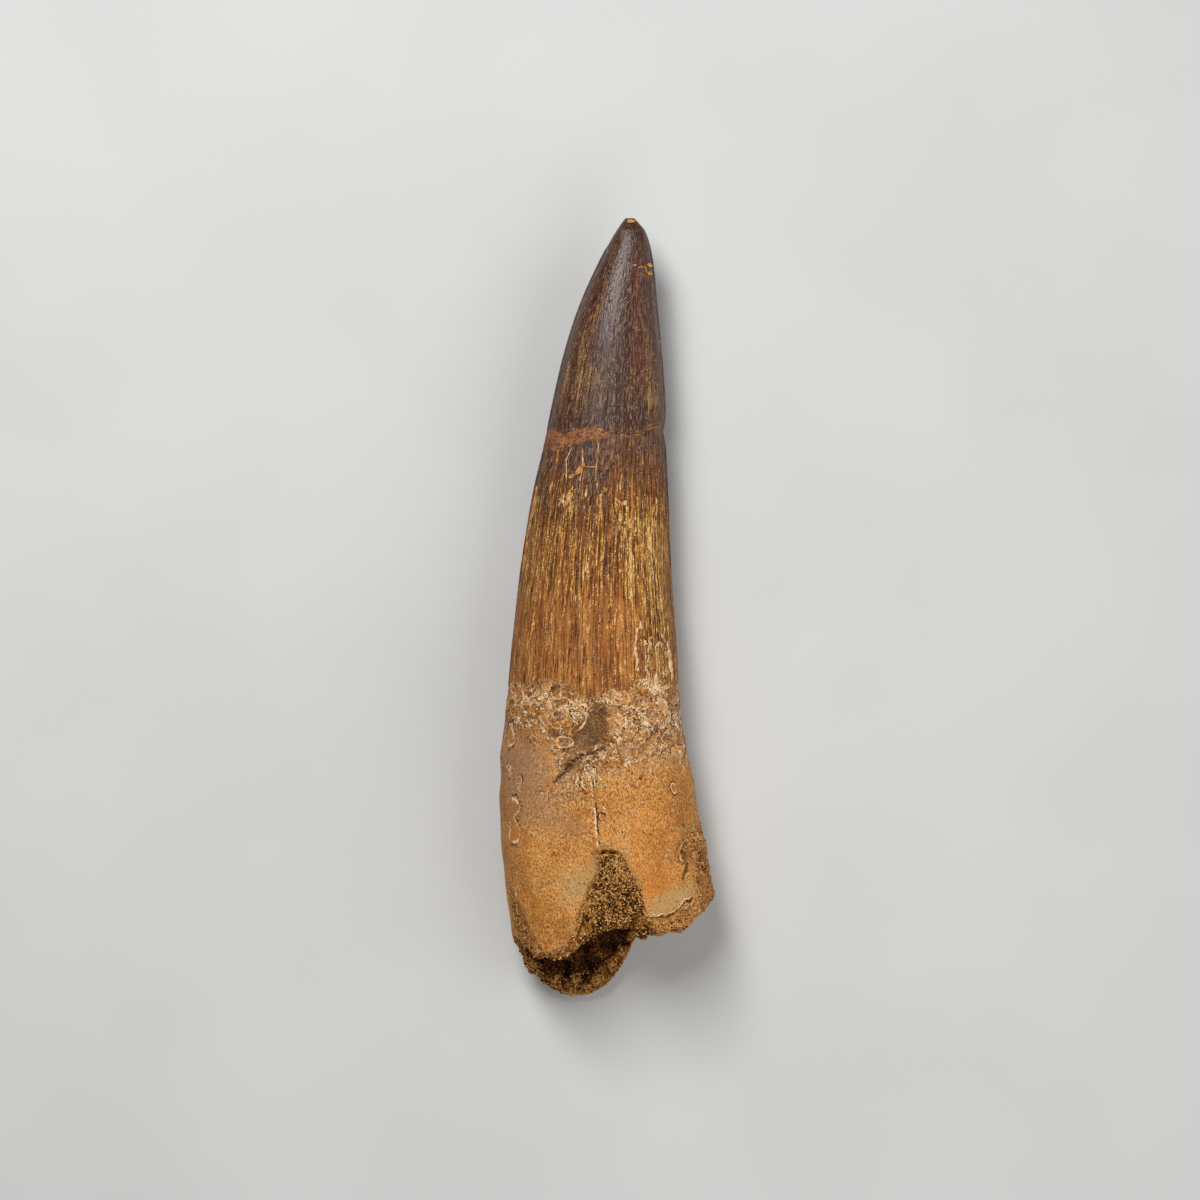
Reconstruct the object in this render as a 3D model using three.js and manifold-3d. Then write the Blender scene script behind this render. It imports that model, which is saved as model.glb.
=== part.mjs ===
// A fossil spinosaur tooth: a long fluted crown that grew as one piece with its stout, broken-off
// root, and the cemented sand that fills the hollow of the root and shows in its notch and its break.
//
// Millimetres, +Z up. The tooth lies on the worn flat spot of its root with its tip towards +Y and
// its inner (tongue) side up. The origin is the middle of its footprint, on the surface it lies on.

import * as THREE from "three";
import { mergeVertices } from "three/addons/utils/BufferGeometryUtils.js";
import Module from "manifold-3d";

const { abs, cos, exp, hypot, max, min, sin, tanh } = Math;

const wasm = await Module();
wasm.setup();

// ---------------------------------------------------------------- driving dimensions

const TIP_Y = 69.6; // end of the worn tip
const CRACK_Y = 31.3; // healed break across the upper crown
const CERVIX_Y = -13.6; // where the crown's shell ends and the root begins
const BAND_END_Y = -31; // lower end of the scabby band under the cervix
const ROOT_FULL_Y = -46; // below here the root's rows lean over to follow the break

const FLUTES = 24; // lengthwise flutes round the crown
const FLUTE_HEIGHT = 0.2;
const KEEL_HEIGHT = 0.35; // the cutting edge down each side of the crown
const KEEL_WIDTH = 0.09; // of the section's half thickness
const LEDGE_HEIGHT = 0.4; // how far the crown's shell stands proud of the root
const LEDGE_REACH = 9; // over which the root swells back out to the shell's level
const CRACK_DEPTH = 0.45;
const CRACK_HALF_WIDTH = 0.7;
const CHIP_DEPTH = 0.5; // chip out of the right keel where the crack meets it
const RAGGED = 0.55; // unevenness of the break
const FURROW_DEPTH = 0.9; // the lengthwise furrow that runs into the notch
const SECTION_POWER = 0.93; // under 1 makes the section a little squarer than an ellipse

const SAND_GAP = 0.3; // clearance between the sand and the tooth
const SAND_SUNK = 0.5; // how far the sand in the notch lies under the root's face

const COLUMNS = 96; // four to a flute
const TIP_ROWS = 10;
const CROWN_ROWS = 9;
const BAND_ROWS = 8;
const ROOT_ROWS = 4;
const RIM_ROWS = 4;
const BREAK_RINGS = 3;

// Outline of the whole tooth: its left and right edge seen from above, and its lower and upper edge
// seen from the side, at places along its length.
const OUTLINE = [
  { y: -75.0, left: -15.4, right: 19.0, under: 1.0, top: 24.4 },
  { y: -62.8, left: -16.2, right: 19.3, under: -0.2, top: 24.8 },
  { y: -57.4, left: -17.3, right: 19.4, under: -0.4, top: 25.2 },
  { y: -52.0, left: -18.0, right: 19.3, under: -0.4, top: 25.6 },
  { y: -46.7, left: -18.6, right: 18.3, under: -0.4, top: 25.9 },
  { y: -37.8, left: -19.2, right: 16.4, under: -0.4, top: 25.8 },
  { y: -27.1, left: -19.0, right: 14.5, under: -0.4, top: 25.0 },
  { y: -16.3, left: -18.0, right: 12.9, under: -0.4, top: 24.0 },
  { y: -5.6, left: -17.0, right: 12.1, under: -0.35, top: 22.7 },
  { y: 7.2, left: -15.3, right: 10.9, under: 0.2, top: 21.6 },
  { y: 20.1, left: -13.2, right: 10.4, under: 1.6, top: 20.7 },
  { y: 28.7, left: -11.2, right: 10.0, under: 2.8, top: 20.0 },
  { y: 37.2, left: -9.5, right: 9.9, under: 4.2, top: 19.3 },
  { y: 45.8, left: -7.5, right: 9.3, under: 5.8, top: 18.6 },
  { y: 54.4, left: -4.7, right: 8.5, under: 7.7, top: 17.8 },
  { y: 63.0, left: -0.8, right: 7.6, under: 10.0, top: 16.9 },
  { y: 67.3, left: 1.5, right: 6.6, under: 11.7, top: 16.2 },
  { y: 69.0, left: 2.6, right: 5.3, under: 13.0, top: 15.4 },
  { y: TIP_Y, left: 3.1, right: 4.7, under: 13.6, top: 15.0 },
];

// The break across the root, as the y that it reaches at each x: the front wall's edge, which is the
// upper one, and the back wall's edge, which runs out in a tongue.
const FRONT_EDGE = [
  [-18, -57.6], [-15.2, -60.6], [-12, -61.2], [-9.5, -61.8], [-7.5, -61.5], [-4.6, -59.4],
  [-2, -57], [3, -56], [7.5, -57.4], [11, -57], [14.8, -55.9], [17.5, -54.2], [19.5, -51.8],
];
const BACK_EDGE = [
  [-18, -58.5], [-16.4, -61], [-14.1, -64.6], [-12.5, -66.3], [-10.5, -68.1], [-8, -69.3],
  [-3, -69.3], [-1.2, -68], [1.8, -64.6], [3.9, -61], [5.4, -57.6], [11, -56.6], [19.5, -51.6],
];
const BREAK_BACK_Z = 4; // below this height the break follows the back wall's edge
const BREAK_FRONT_Z = 18; // above this one it follows the front wall's

// The sand's notch in the root's face, seen from above: an upside-down V with a blunt top.
const NOTCH = [
  [-1.4, -43.2], [2.0, -43.2], [3.2, -45.4], [4.4, -48.2], [5.3, -51.6], [6.2, -54.4],
  [7.4, -57.5], [7.4, -64], [-5.6, -64], [-5.4, -57.6], [-4.4, -55.6], [-3.4, -54], [-2.9, -52.1],
  [-2.4, -49.2], [-0.9, -46.7],
];
const NOTCH_FLOOR_Z = 11; // deep enough to open into the hollow

// The hollow of the root: centre and half sizes of its oval, from its blind end to past the break.
const HOLLOW = [
  { y: -38, x: 0.0, z: 14.5, wide: 2.5, high: 3.0 },
  { y: -42, x: -0.5, z: 14.2, wide: 5.0, high: 5.0 },
  { y: -48, x: -2.0, z: 13.8, wide: 8.0, high: 7.4 },
  { y: -55, x: -3.8, z: 13.4, wide: 10.4, high: 8.9 },
  { y: -61, x: -4.8, z: 13.0, wide: 11.0, high: 9.4 },
  { y: -76, x: -5.2, z: 12.8, wide: 11.2, high: 9.6 },
];

// The sand's own broken face, as the y that it reaches at each height: a slope on the back wall, an
// undercut above it, and the lip that the notch ends in.
const SAND_FACE = [
  [0, -68.6], [4, -67.6], [6, -65.6], [8.5, -62.6], [11, -59.6], [13.5, -56], [15.5, -53.4],
  [17.5, -53.8], [19.5, -55.6], [22, -56.6], [30, -56.8],
];

// Hollows (depth under 0) and scabs (depth over 0) on the upper side, by place, reach and depth.
const SPOTS = [
  { x: -8.0, y: -23.2, reach: 2.0, depth: -0.8 }, // deep pit with an open floor
  { x: -9.6, y: -19.2, reach: 1.8, depth: -0.6 },
  { x: -1.4, y: -18.6, reach: 2.6, depth: -0.6 }, // brown hollow in the middle of the band
  { x: -4.2, y: -21.6, reach: 2.4, depth: -0.6 },
  { x: -16.9, y: -22.6, reach: 1.8, depth: -0.5 },
  { x: -13.0, y: -15.8, reach: 2.4, depth: 0.4 }, // scabs left of the shell
  { x: -7.6, y: -16.4, reach: 2.6, depth: 0.4 },
  { x: 2.2, y: -15.6, reach: 2.2, depth: 0.4 },
  { x: 6.4, y: -15.0, reach: 2.4, depth: 0.5 },
  { x: -3.4, y: -28.6, reach: 2.2, depth: 0.5 },
  { x: 12.4, y: -24.4, reach: 1.8, depth: 0.4 },
  { x: -16.9, y: -37.0, reach: 2.0, depth: -0.4 },
  { x: 12.9, y: -43.6, reach: 2.4, depth: -0.5 },
  { x: 10.2, y: -49.5, reach: 5.0, depth: -0.7 }, // dished face of the right lobe
  { x: -6.4, y: -48.5, reach: 4.6, depth: -0.6 }, // slope beside the notch
];

// ---------------------------------------------------------------- curves and blends

// A value read between hand-set places by a smooth cubic through them. places rise, and values match.
function through(places, values, at) {
  const last = places.length - 1;
  if (at <= places[0]) return values[0];
  if (at >= places[last]) return values[last];
  let i = 0;
  while (places[i + 1] < at) i += 1;
  const slope = (k) => {
    const a = max(k - 1, 0);
    const b = min(k + 1, last);
    return (values[b] - values[a]) / (places[b] - places[a]);
  };
  const span = places[i + 1] - places[i];
  const t = (at - places[i]) / span;
  const rise = t * t * (3 - 2 * t);
  return (
    values[i] * (1 - rise) +
    values[i + 1] * rise +
    span * (slope(i) * t * (1 - t) ** 2 - slope(i + 1) * t * t * (1 - t))
  );
}

// A reader of one named column of a table whose rows stand at y, in rising order.
function column(table, key) {
  const rows = [...table].sort((a, b) => a.y - b.y);
  const places = rows.map((row) => row.y);
  const values = rows.map((row) => row[key]);
  return (y) => through(places, values, y);
}

const pairs = (table) => [table.map((p) => p[0]), table.map((p) => p[1])];
const smooth = THREE.MathUtils.smoothstep;
const mix = THREE.MathUtils.lerp;
const bump = (distance, reach) => exp(-((distance / reach) ** 2));

// ---------------------------------------------------------------- the tooth's outer form

const edge = {
  left: column(OUTLINE, "left"),
  right: column(OUTLINE, "right"),
  under: column(OUTLINE, "under"),
  top: column(OUTLINE, "top"),
};

// The break's y over a point of the root's section: the back edge low down, the front edge high up.
const frontEdge = pairs(FRONT_EDGE);
const backEdge = pairs(BACK_EDGE);
function breakAt(x, z) {
  const front = smooth(z, BREAK_BACK_Z, BREAK_FRONT_Z);
  const ragged = RAGGED * sin(0.9 * x + 0.5 * z) * cos(0.8 * z - 0.35 * x);
  return mix(through(...backEdge, x), through(...frontEdge, x), front) + ragged * smooth(z, 2, 8);
}

// The line of the healed crack and the ragged line of the cervix, round the tooth.
const crackAt = (angle) => CRACK_Y + 0.5 * sin(angle + 0.6) * cos(2 * angle) + 0.35 * sin(5 * angle);
const cervixAt = (angle) => CERVIX_Y + 0.7 * sin(3 * angle + 1) + 0.45 * sin(8 * angle);

// What stands out of the smooth section (over 0) or is sunk in it (under 0).
function reliefAt(angle, x, y, upper) {
  const onCrown = tanh((y - cervixAt(angle)) / 0.35) * 0.5 + 0.5;
  const fluted = onCrown * smooth(TIP_Y - y, 2, 20) * (0.45 + 0.55 * smooth(y, -8, 22));
  const sides = abs(cos(angle));
  const keeled = smooth(y, -12, 10) * smooth(TIP_Y - y, 0, 8);
  let relief = LEDGE_HEIGHT * (onCrown - 1) * bump(y - CERVIX_Y, LEDGE_REACH);
  relief += FLUTE_HEIGHT * fluted * cos(FLUTES * angle);
  relief += KEEL_HEIGHT * keeled * bump(sin(angle), KEEL_WIDTH) * sides;
  relief -= CRACK_DEPTH * bump(y - crackAt(angle), CRACK_HALF_WIDTH / 1.6);
  relief -= CHIP_DEPTH * bump(hypot(x - 10, y - CRACK_Y - 1), 2);
  relief += 0.16 * (1 - onCrown) * sin(0.5 * x + 0.31 * y) * sin(0.43 * y + 2 * angle);
  if (upper > 0) {
    const furrow = smooth(-y, 26, 40) * bump(x + 1.2 + 0.02 * (y + 40), 3.2);
    relief -= FURROW_DEPTH * furrow * upper;
    for (const spot of SPOTS)
      relief += spot.depth * bump(hypot(x - spot.x, y - spot.y), spot.reach) * upper;
  }
  return relief;
}

// A point of the outer form, at an angle round the section and a y along the tooth. The section is an
// oval whose under side is worn flat where it would go below the surface that it lies on.
function outerPoint(angle, y, inset) {
  const left = edge.left(y);
  const right = edge.right(y);
  const top = edge.top(y);
  const under = edge.under(y);
  const wide = (right - left) / 2;
  const high = (top - under) / 2;
  const c = Math.sign(cos(angle)) * abs(cos(angle)) ** SECTION_POWER;
  const s = Math.sign(sin(angle)) * abs(sin(angle)) ** SECTION_POWER;
  const x = (left + right) / 2 + wide * c;
  const out = new THREE.Vector2(cos(angle) / wide, sin(angle) / high).normalize();
  const shift = reliefAt(angle, x, y, max(sin(angle), 0)) - inset;
  const z = (top + under) / 2 + high * s + shift * out.y;
  return new THREE.Vector3(x + shift * out.x, y, max(z, inset));
}

// The y at which the wall meets the break, found by walking down the column a few times.
function rimAt(angle) {
  let y = -58;
  for (let step = 0; step < 4; step += 1) {
    const p = outerPoint(angle, y, 0);
    y = breakAt(p.x, p.z);
  }
  return y;
}

// ---------------------------------------------------------------- grids and solids

// A closed surface of rings, with a pole at each end. Each ring runs the same way round.
function ringSurface(first, rings, last) {
  const around = rings[0].length;
  const points = [first, ...rings.flat(), last];
  const faces = [];
  const at = (ring, k) => 1 + ring * around + (k % around);
  for (let k = 0; k < around; k += 1) faces.push(0, at(0, k + 1), at(0, k));
  for (let ring = 0; ring + 1 < rings.length; ring += 1)
    for (let k = 0; k < around; k += 1) {
      faces.push(at(ring, k), at(ring, k + 1), at(ring + 1, k));
      faces.push(at(ring, k + 1), at(ring + 1, k + 1), at(ring + 1, k));
    }
  const end = points.length - 1;
  for (let k = 0; k < around; k += 1)
    faces.push(at(rings.length - 1, k), at(rings.length - 1, k + 1), end);
  return new THREE.BufferGeometry().setFromPoints(points).setIndex(faces);
}

function solid(geometry) {
  const bare = geometry.clone();
  bare.deleteAttribute("normal");
  bare.deleteAttribute("uv");
  const merged = mergeVertices(bare, 1e-4);
  const made = new wasm.Manifold(
    new wasm.Mesh({
      numProp: 3,
      vertProperties: new Float32Array(merged.attributes.position.array),
      triVerts: new Uint32Array(merged.index.array),
    }),
  );
  return made;
}

function geometryOf(made) {
  const { numProp, vertProperties, triVerts } = made.getMesh();
  const position = new THREE.InterleavedBuffer(vertProperties, numProp);
  return new THREE.BufferGeometry()
    .setAttribute("position", new THREE.InterleavedBufferAttribute(position, 3, 0))
    .setIndex(new THREE.BufferAttribute(triVerts, 1));
}

// The heights of one column's rows, from the tip to the rim. Rows gather at the tip, follow the crack
// and the cervix, and lean over to meet the break.
function rowsOf(angle) {
  const crack = crackAt(angle);
  const cervix = cervixAt(angle);
  const rows = [];
  const add = (count, from, to, gather = 1) => {
    for (let i = 0; i < count; i += 1) rows.push(mix(from, to, (i / count) ** gather));
  };
  add(TIP_ROWS, TIP_Y, crack + CRACK_HALF_WIDTH, 1.5);
  add(1, crack + CRACK_HALF_WIDTH, crack);
  add(1, crack, crack - CRACK_HALF_WIDTH);
  add(CROWN_ROWS, crack - CRACK_HALF_WIDTH, cervix + 0.5);
  add(1, cervix + 0.5, cervix - 0.5);
  add(BAND_ROWS, cervix - 0.5, BAND_END_Y);
  add(ROOT_ROWS, BAND_END_Y, ROOT_FULL_Y);
  add(RIM_ROWS, ROOT_FULL_Y, rimAt(angle));
  rows.push(rimAt(angle));
  return rows;
}

// The tooth with no hollow, its face moved in by inset. The last rings close it across the break.
function outerForm(inset = 0) {
  const angles = Array.from({ length: COLUMNS }, (_, k) => (k / COLUMNS) * 2 * Math.PI);
  const columns = angles.map((angle) => rowsOf(angle).map((y) => outerPoint(angle, y, inset)));
  const rings = columns[0].map((_, row) => columns.map((points) => points[row]));
  const rim = rings.at(-1);
  const middle = rim.reduce((sum, p) => sum.add(p), new THREE.Vector3()).divideScalar(COLUMNS);
  const onBreak = (p, share) => {
    const x = mix(middle.x, p.x, share);
    const z = mix(middle.z, p.z, share);
    return new THREE.Vector3(x, mix(breakAt(x, z), p.y, share), z);
  };
  for (let ring = 1; ring <= BREAK_RINGS; ring += 1)
    rings.push(rim.map((p) => onBreak(p, 1 - ring / (BREAK_RINGS + 1))));
  const tip = new THREE.Vector3(edge.left(TIP_Y) + 0.8, TIP_Y, edge.under(TIP_Y) + 0.7);
  return solid(ringSurface(tip, rings, onBreak(middle, 0)));
}

// ---------------------------------------------------------------- the sand in the root

// The hollow as a solid, grown by a margin on every side.
function hollowForm(margin) {
  const around = 32;
  const read = Object.fromEntries(["x", "z", "wide", "high"].map((key) => [key, column(HOLLOW, key)]));
  const places = [-38, -39, -41, -44, -48, -52, -56, -60, -64, -70, -76];
  const rings = places.map((y) =>
    Array.from({ length: around }, (_, k) => {
      const angle = (k / around) * 2 * Math.PI;
      const lumpy = 1 + 0.04 * sin(3 * angle + 0.3 * y);
      return new THREE.Vector3(
        read.x(y) + (read.wide(y) * lumpy + margin) * cos(angle),
        y + (y === places[0] ? margin : 0),
        read.z(y) + (read.high(y) * lumpy + margin) * sin(angle),
      );
    }),
  );
  const centre = (ring) =>
    ring.reduce((sum, p) => sum.add(p), new THREE.Vector3()).divideScalar(around);
  return solid(ringSurface(centre(rings[0]), rings, centre(rings.at(-1))));
}

// The notch as an upright prism, its outline moved out by a margin.
function notchForm(margin) {
  const middle = new THREE.Vector2(1, -54);
  const outline = NOTCH.map(([x, y]) => {
    const p = new THREE.Vector2(x, y);
    return p.add(p.clone().sub(middle).setLength(margin));
  });
  const prism = new THREE.ExtrudeGeometry(new THREE.Shape(outline), {
    depth: 30 - NOTCH_FLOOR_Z,
    bevelEnabled: false,
  });
  return solid(prism.translate(0, 0, NOTCH_FLOOR_Z));
}

// Everything on the tip's side of the sand's broken face: a block whose one side is that face.
function sandFaceBlock() {
  const face = pairs(SAND_FACE);
  const block = new THREE.BoxGeometry(44, 60, 36, 16, 1, 14);
  block.translate(0, -30, 15);
  const position = block.attributes.position;
  for (let i = 0; i < position.count; i += 1) {
    if (position.getY(i) > -30) continue;
    const x = position.getX(i);
    const z = position.getZ(i);
    const ragged = 0.5 * sin(1.1 * x + 0.7 * z) * sin(0.9 * z - 0.4 * x);
    position.setY(i, max(through(...face, z), breakAt(x, z) + 0.6) + ragged);
  }
  return solid(block);
}

// ---------------------------------------------------------------- the object

const hollow = hollowForm(SAND_GAP).add(notchForm(SAND_GAP));
const tooth = outerForm().subtract(hollow);
const sand = hollowForm(0)
  .add(notchForm(0))
  .intersect(outerForm(SAND_SUNK))
  .intersect(sandFaceBlock());

const fossilDentine = new THREE.MeshStandardMaterial({
  color: 0xa0703a,
  roughness: 0.5,
  metalness: 0,
  flatShading: true,
});
const sandstone = new THREE.MeshStandardMaterial({
  color: 0x6b4a26,
  roughness: 0.95,
  metalness: 0,
  flatShading: true,
});

function piece(name, made, material) {
  const mesh = new THREE.Mesh(geometryOf(made), material);
  mesh.name = name;
  return mesh;
}

const fossil = new THREE.Group();
fossil.name = "spinosaur_tooth";
fossil.add(piece("tooth", tooth, fossilDentine));
fossil.add(piece("sandstone_plug", sand, sandstone));

export default fossil;
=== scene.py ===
"""A fossil spinosaur tooth: a glossy fluted crown above a mended crack, streaky golden dentine below
it, a scabby band under the crown's edge, and a stout ochre root whose broken hollow is full of
cemented sand. It lies on a plain pale floor with its tongue side up.

Lengths are millimetres in the tooth's own frame (+Y towards the tip, +Z up) and become metres only
where a mesh or a lamp is made. A place on the tooth is a turn round it, in radians from its right
edge over its upper side, and a y along it.
"""

import bpy
import numpy as np
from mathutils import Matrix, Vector


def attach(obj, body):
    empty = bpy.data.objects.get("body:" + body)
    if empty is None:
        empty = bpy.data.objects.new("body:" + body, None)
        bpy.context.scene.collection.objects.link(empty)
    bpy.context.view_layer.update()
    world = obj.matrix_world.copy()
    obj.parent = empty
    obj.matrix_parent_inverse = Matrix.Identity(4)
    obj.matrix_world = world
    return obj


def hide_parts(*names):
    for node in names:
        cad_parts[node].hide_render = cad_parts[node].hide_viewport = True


MM = 0.001
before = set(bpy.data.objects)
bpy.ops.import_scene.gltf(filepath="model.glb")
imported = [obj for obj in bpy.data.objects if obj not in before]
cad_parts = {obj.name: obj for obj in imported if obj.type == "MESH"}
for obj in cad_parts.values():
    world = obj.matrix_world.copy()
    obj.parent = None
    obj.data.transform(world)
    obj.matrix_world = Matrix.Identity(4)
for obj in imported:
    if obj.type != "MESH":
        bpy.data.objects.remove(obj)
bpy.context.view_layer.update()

# ---------------------------------------------------------------- the tooth's driving dimensions

TIP_Y = 69.6
CRACK_Y = 31.3  # mended break across the upper crown
CERVIX_Y = -13.6  # lower edge of the crown
ROOT_FULL_Y = -46.0  # below here the rows lean over to follow the break
RIM_Y = -58.0
SECTION_POWER = 0.93

RIBS = 34  # rounded ribs with narrow grooves round the crown
RIB_HEIGHT = 0.11
KEEL_HEIGHT = 0.35
KEEL_WIDTH = 0.09
LEDGE_HEIGHT = 0.4
LEDGE_REACH = 9.0
COMB_LINES = 88  # fine grooves round the streaky dentine
FURROW_DEPTH = 0.9
EDGE_ROUND = 1.3  # radius of the worn edge between the root's face and its break
NOTCH_SINK = 2.6  # how far the root's face drops under the sand in the notch
NOTCH_RISE = 2.2  # how far the break steps back across the notch
HOLLOW_TOP_Y = -46.0  # where the modelled inside of the hollow ends, behind the sand
MOUTH = (-4.8, 13.0, 10.9, 9.3)  # centre x, centre z, half width, half height of the hollow's mouth

# y, left, right, under, top: the outline from above and from the side.
OUTLINE = np.array([
    (-75.0, -15.4, 19.0, 1.0, 24.4),
    (-62.8, -16.2, 19.3, -0.2, 24.8),
    (-57.4, -17.3, 19.4, -0.4, 25.2),
    (-52.0, -18.0, 19.3, -0.4, 25.6),
    (-46.7, -18.6, 18.3, -0.4, 25.9),
    (-37.8, -19.2, 16.4, -0.4, 25.8),
    (-27.1, -19.0, 14.5, -0.4, 25.0),
    (-16.3, -18.0, 12.9, -0.4, 24.0),
    (-5.6, -17.0, 12.1, -0.35, 22.7),
    (7.2, -15.3, 10.9, 0.2, 21.6),
    (20.1, -13.2, 10.4, 1.6, 20.7),
    (28.7, -11.2, 10.0, 2.8, 20.0),
    (37.2, -9.5, 9.9, 4.2, 19.3),
    (45.8, -7.5, 9.3, 5.8, 18.6),
    (54.4, -4.7, 8.5, 7.7, 17.8),
    (63.0, -0.8, 7.6, 10.0, 16.9),
    (67.3, 1.5, 6.6, 11.7, 16.2),
    (69.0, 2.6, 5.3, 13.0, 15.4),
    (TIP_Y, 3.1, 4.7, 13.6, 15.0),
]).T

# x, y of the break's edge in the front (upper) wall and in the back wall, which runs out in a tongue.
FRONT_EDGE = np.array([
    (-18, -57.6), (-15.2, -60.6), (-12, -61.2), (-9.5, -61.8), (-7.5, -61.5), (-4.6, -59.4),
    (-2, -57), (3, -56), (7.5, -57.4), (11, -57), (14.8, -55.9), (17.5, -54.2), (19.5, -51.8),
]).T
BACK_EDGE = np.array([
    (-18, -58.5), (-16.4, -61), (-14.1, -64.6), (-12.5, -66.3), (-10.5, -68.1), (-8, -69.3),
    (-3, -69.3), (-1.2, -68), (1.8, -64.6), (3.9, -61), (5.4, -57.6), (11, -56.6), (19.5, -51.6),
]).T

# y and x of the notch's two sides, from its blunt top to the break.
NOTCH_LEFT = np.array([
    (-58, -5.6), (-55.8, -4.4), (-54, -3.4), (-52.1, -2.9), (-49.2, -2.4), (-46.7, -0.9), (-43.2, -1.3),
]).T
NOTCH_RIGHT = np.array([
    (-58, 7.4), (-54.4, 6.2), (-51.6, 5.3), (-48.2, 4.4), (-45.4, 3.2), (-43.2, 2.0),
]).T
NOTCH_TOP_Y = -43.2

# y, centre x, centre z, half width, half height of the hollow in the root.
HOLLOW = np.array([
    (-76, -5.2, 12.8, 11.2, 9.6),
    (-61, -4.8, 13.0, 11.0, 9.4),
    (-55, -3.8, 13.4, 10.4, 8.9),
    (-48, -2.0, 13.8, 8.0, 7.4),
    (-42, -0.5, 14.2, 5.0, 5.0),
    (-38, 0.0, 14.5, 2.5, 3.0),
]).T

# x, y, reach, depth of hollows (under 0) and scabs (over 0) on the upper side.
SPOTS = [
    (-7.9, -23.6, 1.5, -0.9),
    (-9.6, -19.2, 1.5, -0.5),
    (-1.6, -19.0, 2.2, -0.6),
    (-3.8, -23.6, 1.8, -0.6),
    (-17.0, -22.6, 1.6, -0.5),
    (-13.0, -15.8, 2.2, 0.35),
    (-7.0, -17.6, 2.6, 0.35),
    (2.2, -15.6, 2.2, 0.35),
    (6.4, -15.0, 2.4, 0.45),
    (-3.4, -29.0, 2.0, 0.45),
    (12.4, -25.4, 1.6, 0.4),
    (-16.9, -38.8, 2.6, -0.4),
    (13.6, -43.0, 2.0, -0.6),
    (9.4, -49.5, 4.6, -0.6),
    (-6.4, -48.5, 4.6, -0.5),
]

# The mended crack over the upper side, as y at each x, and the ragged edge of the crown.
CRACK_LINE = np.array([
    (-12, 31.6), (-10.9, 31.5), (-8.9, 30.6), (-7.1, 30.1), (-5, 30.8), (-3.2, 30.3), (-1.4, 30.4),
    (-0.2, 31.2), (1.8, 30.8), (3.6, 31.0), (5.7, 31.5), (7.5, 32.6), (9.5, 32.9), (11, 32.6),
]).T
CERVIX_LINE = np.array([
    (-20, -12.8), (-17.9, -12.8), (-13.9, -13.4), (-11, -12.6), (-8.6, -12.9), (-6.4, -13.8),
    (-4.5, -15.8), (-1.4, -15.4), (0.7, -14.2), (3.0, -14.3), (5.2, -12.4), (8.4, -12.8), (12.9, -14.6),
]).T
# Where the enamel gives way to streaky dentine, as y at each x.
FRINGE_LINE = np.array([
    (-12, 24.0), (-8.6, 24.4), (-6.8, 20.8), (-2.0, 19.8), (0, 19.6), (1.8, 22.5), (3.9, 26.5), (5.7, 25.0),
    (7.5, 24.2), (9.6, 24.0),
]).T
# Where the scabs under the crown run out, as y at each x.
BAND_LINE = np.array([
    (-20, -20.5), (-14, -21.2), (-10.5, -24.5), (-8, -31.5), (-3, -32.5), (0, -30), (6, -29.5), (12, -28.5),
    (17, -27),
]).T
# The fine dark line down the root's face, as x at each y.
FISSURE_LINE = np.array([(-43.6, -1.3), (-39.6, -1.8), (-35.1, -2.1), (-30.4, -2.8), (-28.6, -3.1)]).T
# The sharp ledge over the right lobe's rim, as y at each x.
LEDGE_LINE = np.array([
    (6.2, -54.4), (9.9, -54.8), (11.6, -53.9), (12.9, -52.8), (14.6, -51.8), (16.4, -49.8),
]).T
# Upper and lower edge of the clay that fills the crack's left half.
FILL_TOP = np.array([(-12, 32.2), (-10.9, 32.0), (-7.7, 31.6), (-4.1, 31.8), (-1.4, 32.0), (0.2, 31.6)]).T
FILL_FOOT = np.array([
    (-12, 27.6), (-10.9, 28.0), (-8.6, 28.2), (-7.1, 28.8), (-5.4, 29.6), (-3.2, 29.9), (-0.7, 30.2),
    (0.2, 31.0),
]).T

# ---------------------------------------------------------------- curves, steps and noise


def smooth(value, low, high):
    """An S-shaped step from 0 at low to 1 at high: three t squared less two t cubed."""
    t = np.clip((value - low) / (high - low), 0, 1)
    return t * t * (3 - 2 * t)


def bump(distance, reach):
    """A bell: e to the power of minus the square of distance over reach."""
    return np.exp(-((distance / reach) ** 2))


def mix(a, b, share):
    """a where share is 0, b where it is 1, and in proportion between."""
    return a + (b - a) * share


def through(places, values, at):
    """A smooth curve through given values: on each span a cubic that starts and ends with the slopes of the
    chords over the neighbouring places."""
    last = len(places) - 1
    before = np.maximum(np.arange(last + 1) - 1, 0)
    after = np.minimum(np.arange(last + 1) + 1, last)
    slope = (values[after] - values[before]) / (places[after] - places[before])
    at = np.clip(at, places[0], places[-1])
    i = np.clip(np.searchsorted(places, at, side="right") - 1, 0, last - 1)
    span = places[i + 1] - places[i]
    t = (at - places[i]) / span
    rise = t * t * (3 - 2 * t)
    lean = slope[i] * t * (1 - t) ** 2 - slope[i + 1] * t * t * (1 - t)
    return values[i] * (1 - rise) + values[i + 1] * rise + span * lean


def lattice(i, j, k, seed):
    """A number from -1 to 1 for each whole-number place: products with large odd numbers, folded
    over themselves so that neighbours have nothing in common."""
    n = (i * 374761393 + j * 668265263 + k * 1442695041 + seed * 974634777) & 0xFFFFFFFF
    n = ((n ^ (n >> 13)) * 1274126177) & 0xFFFFFFFF
    n = ((n ^ (n >> 15)) * 461845907) & 0xFFFFFFFF
    return ((n >> 8) & 0xFFFF) / 32767.5 - 1.0


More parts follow.
